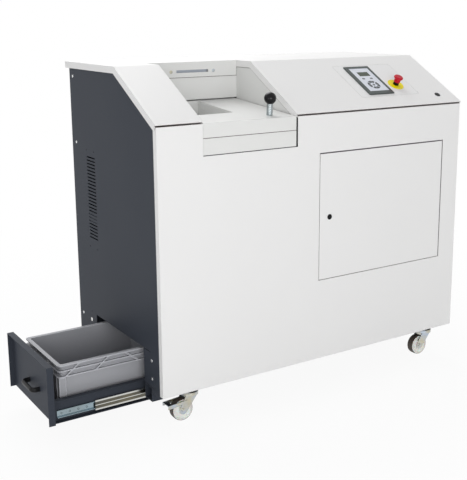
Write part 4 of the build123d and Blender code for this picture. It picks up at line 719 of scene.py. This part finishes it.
def weldBeads():
    shape = Shape("weldBead", {"Pitch": "Float", "Radius": "Float", "Material": "Material"})
    curve = shape.add("GeometryNodeMeshToCurve", {}, {"Mesh": shape.given["Geometry"]})["Curve"]
    spots = shape.add("GeometryNodeCurveToPoints", {"mode": "LENGTH"},
                      {"Curve": curve, "Length": shape.given["Pitch"]})
    ripple = shape.add("GeometryNodeMeshUVSphere", {},
                       {"Segments": beadSizes["segments"], "Rings": beadSizes["rings"],
                        "Radius": shape.given["Radius"]})["Mesh"]
    least, most = beadSizes["swell"]
    swell = shape.add("FunctionNodeRandomValue", {"data_type": "FLOAT"},
                      {"Min": least, "Max": most, "Seed": seeds["beadSwell"]})["Value"]
    copies = shape.add("GeometryNodeInstanceOnPoints", {},
                       {"Points": spots["Points"], "Instance": ripple, "Rotation": spots["Rotation"],
                        "Scale": shape.vector(swell, swell, beadSizes["length"])})
    shape.close(copies["Instances"])
    places, edges = [], []
    for start, end in beadLines:
        edges.append((len(places), len(places) + 1))
        places += [cabinetPoint(*start), cabinetPoint(*end)]
    grown("weldBeads", pointMesh("weldLines", places, edges), shape,
          {"Pitch": beadSizes["pitch"] * mm, "Radius": beadSizes["radius"] * mm}, "cabinet",
          finishes["anthracite"])


# Bow grip of the drawer: an oval bar that swells towards its two feet
gripSizes = {"halfThick": 6.2, "halfHeight": 8.4, "bend": 13, "footSwell": 1.5, "footInset": 8,
             "legSteps": 4, "bendSteps": 10, "segments": 36}


def gripShape():
    shape = Shape("bowGrip", {"Half Thick": "Float", "Half Height": "Float", "Segments": "Int",
                              "Material": "Material"})
    curve = shape.add("GeometryNodeMeshToCurve", {}, {"Mesh": shape.given["Geometry"]})["Curve"]
    level = shape.add("GeometryNodeSetCurveNormal", {"mode": "Z_UP"}, {"Curve": curve})["Curve"]
    swollen = shape.add("GeometryNodeSetCurveRadius", {},
                        {"Curve": level, "Radius": shape.named("size", "FLOAT")})["Curve"]
    ring = shape.add("GeometryNodeCurvePrimitiveCircle", {},
                     {"Resolution": shape.given["Segments"], "Radius": 1.0})["Curve"]
    halves = shape.vector(shape.given["Half Thick"], shape.given["Half Height"], 1.0)
    oval = shape.add("GeometryNodeTransform", {}, {"Geometry": ring, "Scale": halves})["Geometry"]
    bar = shape.add("GeometryNodeCurveToMesh", {},
                    {"Curve": swollen, "Profile Curve": oval, "Fill Caps": True})["Mesh"]
    return shape.close(bar)


def drawerGrip():
    low, high = (Vector(spot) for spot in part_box("drawer_handle"))
    thick, bend, inset = (gripSizes[key] * mm for key in ("halfThick", "bend", "footInset"))
    bar, nearFoot = low.x + thick, low.y + inset
    legSteps, bendSteps = gripSizes["legSteps"], gripSizes["bendSteps"]
    side = [(high.x - step / legSteps * (high.x - bar - bend), nearFoot) for step in range(legSteps)]
    side += [(bar + bend - bend * math.sin(turn), nearFoot + bend - bend * math.cos(turn))
             for turn in (math.radians(90 / bendSteps * step) for step in range(bendSteps + 1))]
    path = side + [(x, low.y + high.y - y) for x, y in reversed(side)]
    swell = [1 + (gripSizes["footSwell"] - 1) * ((x - bar) / (high.x - bar)) ** 2 for x, y in path]
    mesh = pointMesh("gripPath", [(x, y, (low.z + high.z) / 2) for x, y in path],
                     [(index, index + 1) for index in range(len(path) - 1)], sizes=swell)
    grip = grown("drawerGrip", mesh, gripShape(),
                 {"Half Thick": thick, "Half Height": gripSizes["halfHeight"] * mm,
                  "Segments": gripSizes["segments"]}, "drawer", finishes["black_metal"])
    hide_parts("drawer_handle")


# Plain arrows and bars on the keys, in a thin raised print
printSizes = {"keyTop": 3.4, "lift": 0.01, "thickness": 0.12, "ring": (930, 131), "ringMiddle": 18.5,
              "arrow": 4.2, "arrowTip": 0.6, "arrowTail": 0.45, "arrowHalf": 0.62, "dot": 1.5,
              "dotPoints": 20, "smallKeys": ((911, 171), (947, 171)), "bar": (5.0, 1.3)}


def printedShape(shell, outline):
    low, high = ([shell.verts.new(slopePoint(across, upSlope, printSizes["keyTop"] + printSizes[proud]))
                  for across, upSlope in outline] for proud in ("lift", "thickness"))
    shell.faces.new(high)
    shell.faces.new(list(reversed(low)))
    for index in range(len(outline)):
        after = (index + 1) % len(outline)
        shell.faces.new((low[index], low[after], high[after], high[index]))


def keyPrints():
    shell = bmesh.new()
    centreX, centreUp = printSizes["ring"]
    tip, tail, side = (printSizes["arrow"] * printSizes[key]
                       for key in ("arrowTip", "arrowTail", "arrowHalf"))
    for quarter in range(4):
        turn = math.radians(90 * quarter)
        corners = []
        for along, across in ((tip, 0), (-tail, side), (-tail, -side)):
            along += printSizes["ringMiddle"]
            corners.append((centreX + along * math.cos(turn) - across * math.sin(turn),
                            centreUp + along * math.sin(turn) + across * math.cos(turn)))
        printedShape(shell, corners)
    radius, points = printSizes["dot"], printSizes["dotPoints"]
    printedShape(shell, [(centreX + radius * math.cos(turn), centreUp + radius * math.sin(turn))
                         for turn in (math.tau * step / points for step in range(points))])
    width, height = printSizes["bar"]
    for keyX, keyUp in printSizes["smallKeys"]:
        printedShape(shell, [(keyX - width / 2, keyUp - height / 2), (keyX + width / 2, keyUp - height / 2),
                             (keyX + width / 2, keyUp + height / 2), (keyX - width / 2, keyUp + height / 2)])
    ink = mouldedPlastic("keyPrint", {**darkBezel, "colour": (0.62, 0.64, 0.68), "rough": 0.4})
    ownPiece("keyPrints", shell, "hood", ink)


# A small cover behind the slot, open towards the recess; its bluish grey is painted shade inside the slot
slotCover = {"left": 268, "right": 402, "low": 1109, "high": 1128, "front": 371.2, "back": 378, "wall": 1,
             "colour": (0.46, 0.50, 0.57)}


def slotBack():
    shell = bmesh.new()
    left, right, low, high = (slotCover[key] for key in ("left", "right", "low", "high"))
    front, back, wall = (slotCover[key] for key in ("front", "back", "wall"))
    rings = [[cabinetPoint(x, y, z) for x, z in ((left + inset, low + inset), (right - inset, low + inset),
                                                 (right - inset, high - inset), (left + inset, high - inset))]
             for y, inset in ((front, wall), (front, 0), (back, 0), (back - wall, wall))]
    corners = [[shell.verts.new(spot) for spot in ring] for ring in rings]
    for first, second in ((0, 1), (1, 2), (3, 0)):
        for index in range(4):
            after = (index + 1) % 4
            shell.faces.new((corners[first][index], corners[first][after],
                             corners[second][after], corners[second][index]))
    shell.faces.new(corners[2])
    shell.faces.new(corners[3])
    coat = powderCoat("coverCoat", {**whiteCoat, "colour": slotCover["colour"]})
    ownPiece("slotCover", shell, "hood", coat)


dress("knob_post", platedSteel("turnedPost", {**brightSteel, "cool": (0.40, 0.45, 0.47),
                                              "warm": (0.34, 0.37, 0.38), "rough": 0.24}))

# The feed's own sheets have a slightly greyer coat. A band of painted shade darkens each edge that faces a
# narrow seam
feedCoat = {**whiteCoat, "colour": (0.742, 0.744, 0.730)}
seamShadeEdges = {"feed_slider": {"below": 941.9, "coat": feedCoat},
             "slot_plate": {"below": 1098.6, "coat": feedCoat},
             "hood": {"below": 991.6, "before": 2.5, "coat": whiteCoat},
             "front_panel": {"above": 985.8, "before": 2.5, "coat": whiteCoat}}
hoodFlange = {"top": 1150, "depth": 22, "line": 2.6, "colour": (0.30, 0.29, 0.27)}
# width and colour of the shade painted along the door's gap
doorGapShade = {"width": 2.2, "colour": (0.10, 0.08, 0.10)}


def seamShadeLine(edge):
    def maskOf(graph, spot):
        if "below" in edge:
            mask = spot["Z"] < edge["below"] * mm
        else:
            mask = spot["Z"] > edge["above"] * mm
        if "before" in edge:
            mask = mask * (spot["Y"] < cabinetPoint(0, edge["before"], 0).y)
        return mask
    return maskOf


def flangeLine(graph, spot):
    # the shadow line under the flange that the hood folds down round the feed recess
    seat = slopePoint(0, 0, 0)
    slopeDepth = (spot["Y"] - seat.y) * math.sin(slopeAngle) + (seat.z - spot["Z"]) * math.cos(slopeAngle)
    topDepth = hoodFlange["top"] * mm - spot["Z"]
    depth = graph.add("ShaderNodeMath", {"operation": "MINIMUM"}, {0: slopeDepth, 1: topDepth})["Value"]
    return (depth > hoodFlange["depth"] * mm) * (depth < (hoodFlange["depth"] + hoodFlange["line"]) * mm)


def doorGapShadeLine(graph, spot):
    # painted shade on the door's top and hinge-side edges, darkening the gap there
    reach = Vector(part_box("access_door")[1]) - Vector((1, 0, 1)) * doorGapShade["width"] * mm
    return (spot["Z"] > reach.z) + (spot["X"] > reach.x)


# painted shade: a dark band on the edges that face narrow seams
for nodeName, edge in seamShadeEdges.items():
    coat = powderCoat(nodeName + "Coat", edge["coat"])
    dress(nodeName, overlaid(coat, whiteCoat["grimeColour"], seamShadeLine(edge)))
dress("recess_walls", overlaid(powderCoat("recessCoat", feedCoat), hoodFlange["colour"], flangeLine))
dress("access_door", overlaid(powderCoat("doorCoat", whiteCoat), doorGapShade["colour"], doorGapShadeLine))
dress("feed_table", powderCoat("tableCoat", feedCoat))
dress("door_lock", finishes["black_plastic"])
dress("hood_lock", finishes["black_plastic"])
panelScrews()
print("panel screws done")
slotScrews()
slotBack()
castorWheels()
print("castor wheels done")
slideRivets()
weldBeads()
drawerGrip()
keyPrints()
print("own pieces done")


# Studio: pale floor, pale world, soft lamps
studio = {"floorHalf": 14.0, "floorColour": (0.88, 0.88, 0.88), "floorShine": 0.93, "fadeStart": 0.8,
          "fadeEnd": 2.6, "worldLight": 0.50, "worldTint": (0.985, 0.99, 1.0), "white": (1.0, 1.0, 1.0)}


def seenDirectly(graph):
    # one for rays that come from the camera straight, off a shine or through a clear piece
    path = graph.add("ShaderNodeLightPath")
    both = graph.add("ShaderNodeMath", {"operation": "MAXIMUM"},
                     {0: path["Is Camera Ray"], 1: path["Is Glossy Ray"]})["Value"]
    return graph.add("ShaderNodeMath", {"operation": "MAXIMUM"},
                     {0: both, 1: path["Is Transmission Ray"]})["Value"]


def makeFloor():
    half = studio["floorHalf"]
    mesh = bpy.data.meshes.new("studioFloor")
    corners = [(-half, -half, 0), (half, -half, 0), (half, half, 0), (-half, half, 0)]
    mesh.from_pydata(corners, [], [(0, 1, 2, 3)])
    floor = bpy.data.objects.new("studioFloor", mesh)
    bpy.context.scene.collection.objects.link(floor)
    material = bpy.data.materials.new("floorPaper")
    material.use_nodes = True
    paper = Graph(material.node_tree)
    paper.tree.nodes.clear()
    lit = paper.add("ShaderNodeBsdfDiffuse", {}, {"Color": rgba(studio["floorColour"])})["BSDF"]
    pale = paper.add("ShaderNodeEmission", {}, {"Color": rgba(studio["white"]), "Strength": 1.0})["Emission"]
    place = paper.add("ShaderNodeTexCoord")["Object"]
    length = paper.add("ShaderNodeVectorMath", {"operation": "LENGTH"}, {0: place})["Value"]
    away = paper.add("ShaderNodeMapRange", {"interpolation_type": "SMOOTHSTEP"},
                     {"Value": length, "From Min": studio["fadeStart"], "From Max": studio["fadeEnd"],
                      "To Min": studio["floorShine"], "To Max": 1.0})["Result"]
    share = seenDirectly(paper) * away
    mixed = paper.add("ShaderNodeMixShader", {}, {0: share, 1: lit, 2: pale})["Shader"]
    paper.add("ShaderNodeOutputMaterial", {}, {"Surface": mixed})
    mesh.materials.append(material)


def makeWorld():
    world = bpy.data.worlds.new("studioWorld")
    bpy.context.scene.world = world
    world.use_nodes = True
    sky = Graph(world.node_tree)
    sky.tree.nodes.clear()
    dim = sky.add("ShaderNodeBackground", {}, {"Color": rgba(studio["worldTint"]),
                                               "Strength": studio["worldLight"]})["Background"]
    white = sky.add("ShaderNodeBackground", {}, {"Color": rgba(studio["white"]),
                                                 "Strength": 1.0})["Background"]
    mixed = sky.add("ShaderNodeMixShader", {}, {0: seenDirectly(sky), 1: dim, 2: white})["Shader"]
    sky.add("ShaderNodeOutputWorld", {}, {"Surface": mixed})


lampAim = Vector((0.1, 0.0, 0.6))
lamps = {
    "keyLamp": {"place": (-1.5, -4.7, 0.7), "size": 3.0, "power": 117},
    "topLamp": {"place": (0.2, 2.6, 4.4), "size": 3.4, "power": 131},
    "sideLamp": {"place": (-4.0, -2.2, 0.6), "size": 2.4, "power": 26},
    "backLamp": {"place": (1.5, 4.4, 3.0), "size": 2.8, "power": 8},
}


def makeLamps():
    for name, lamp in lamps.items():
        data = bpy.data.lights.new(name, "AREA")
        data.size = lamp["size"]
        data.energy = lamp["power"]
        lampObject = bpy.data.objects.new(name, data)
        bpy.context.scene.collection.objects.link(lampObject)
        lampObject.location = lamp["place"]
        ahead = lampAim - lampObject.location
        lampObject.rotation_euler = ahead.to_track_quat("-Z", "Y").to_euler()


# Camera of the photograph, in the row frame
cameraPlace = {"place": (-1.61996, -2.63875, 1.30893), "yaw": 33.0276, "pitch": -12.3328, "roll": -0.2551,
               "focalPixels": 882.868, "centreX": 251.2035, "centreY": 206.9369, "width": 467,
               "height": 480, "sensorWidth": 36.0}


def makeCamera():
    data = bpy.data.cameras.new("photoCamera")
    camera = bpy.data.objects.new("photoCamera", data)
    bpy.context.scene.collection.objects.link(camera)
    yaw, pitch, roll = (math.radians(cameraPlace[key]) for key in ("yaw", "pitch", "roll"))
    ahead = Vector((math.sin(yaw) * math.cos(pitch), math.cos(yaw) * math.cos(pitch), math.sin(pitch)))
    level = Vector((math.cos(yaw), -math.sin(yaw), 0))
    upright = level.cross(ahead)
    right = math.cos(roll) * level + math.sin(roll) * upright
    up = math.cos(roll) * upright - math.sin(roll) * level
    camera.matrix_world = Matrix((right, up, -ahead)).transposed().to_4x4()
    camera.location = cameraPlace["place"]
    data.sensor_fit = "HORIZONTAL"
    data.sensor_width = cameraPlace["sensorWidth"]
    data.lens = cameraPlace["focalPixels"] * data.sensor_width / cameraPlace["width"]
    data.shift_x = (cameraPlace["width"] / 2 - cameraPlace["centreX"]) / cameraPlace["width"]
    data.shift_y = (cameraPlace["centreY"] - cameraPlace["height"] / 2) / cameraPlace["width"]
    bpy.context.scene.camera = camera


makeFloor()
makeWorld()
makeLamps()
makeCamera()
bpy.context.scene.view_settings.view_transform = "Standard"
print("studio ready")
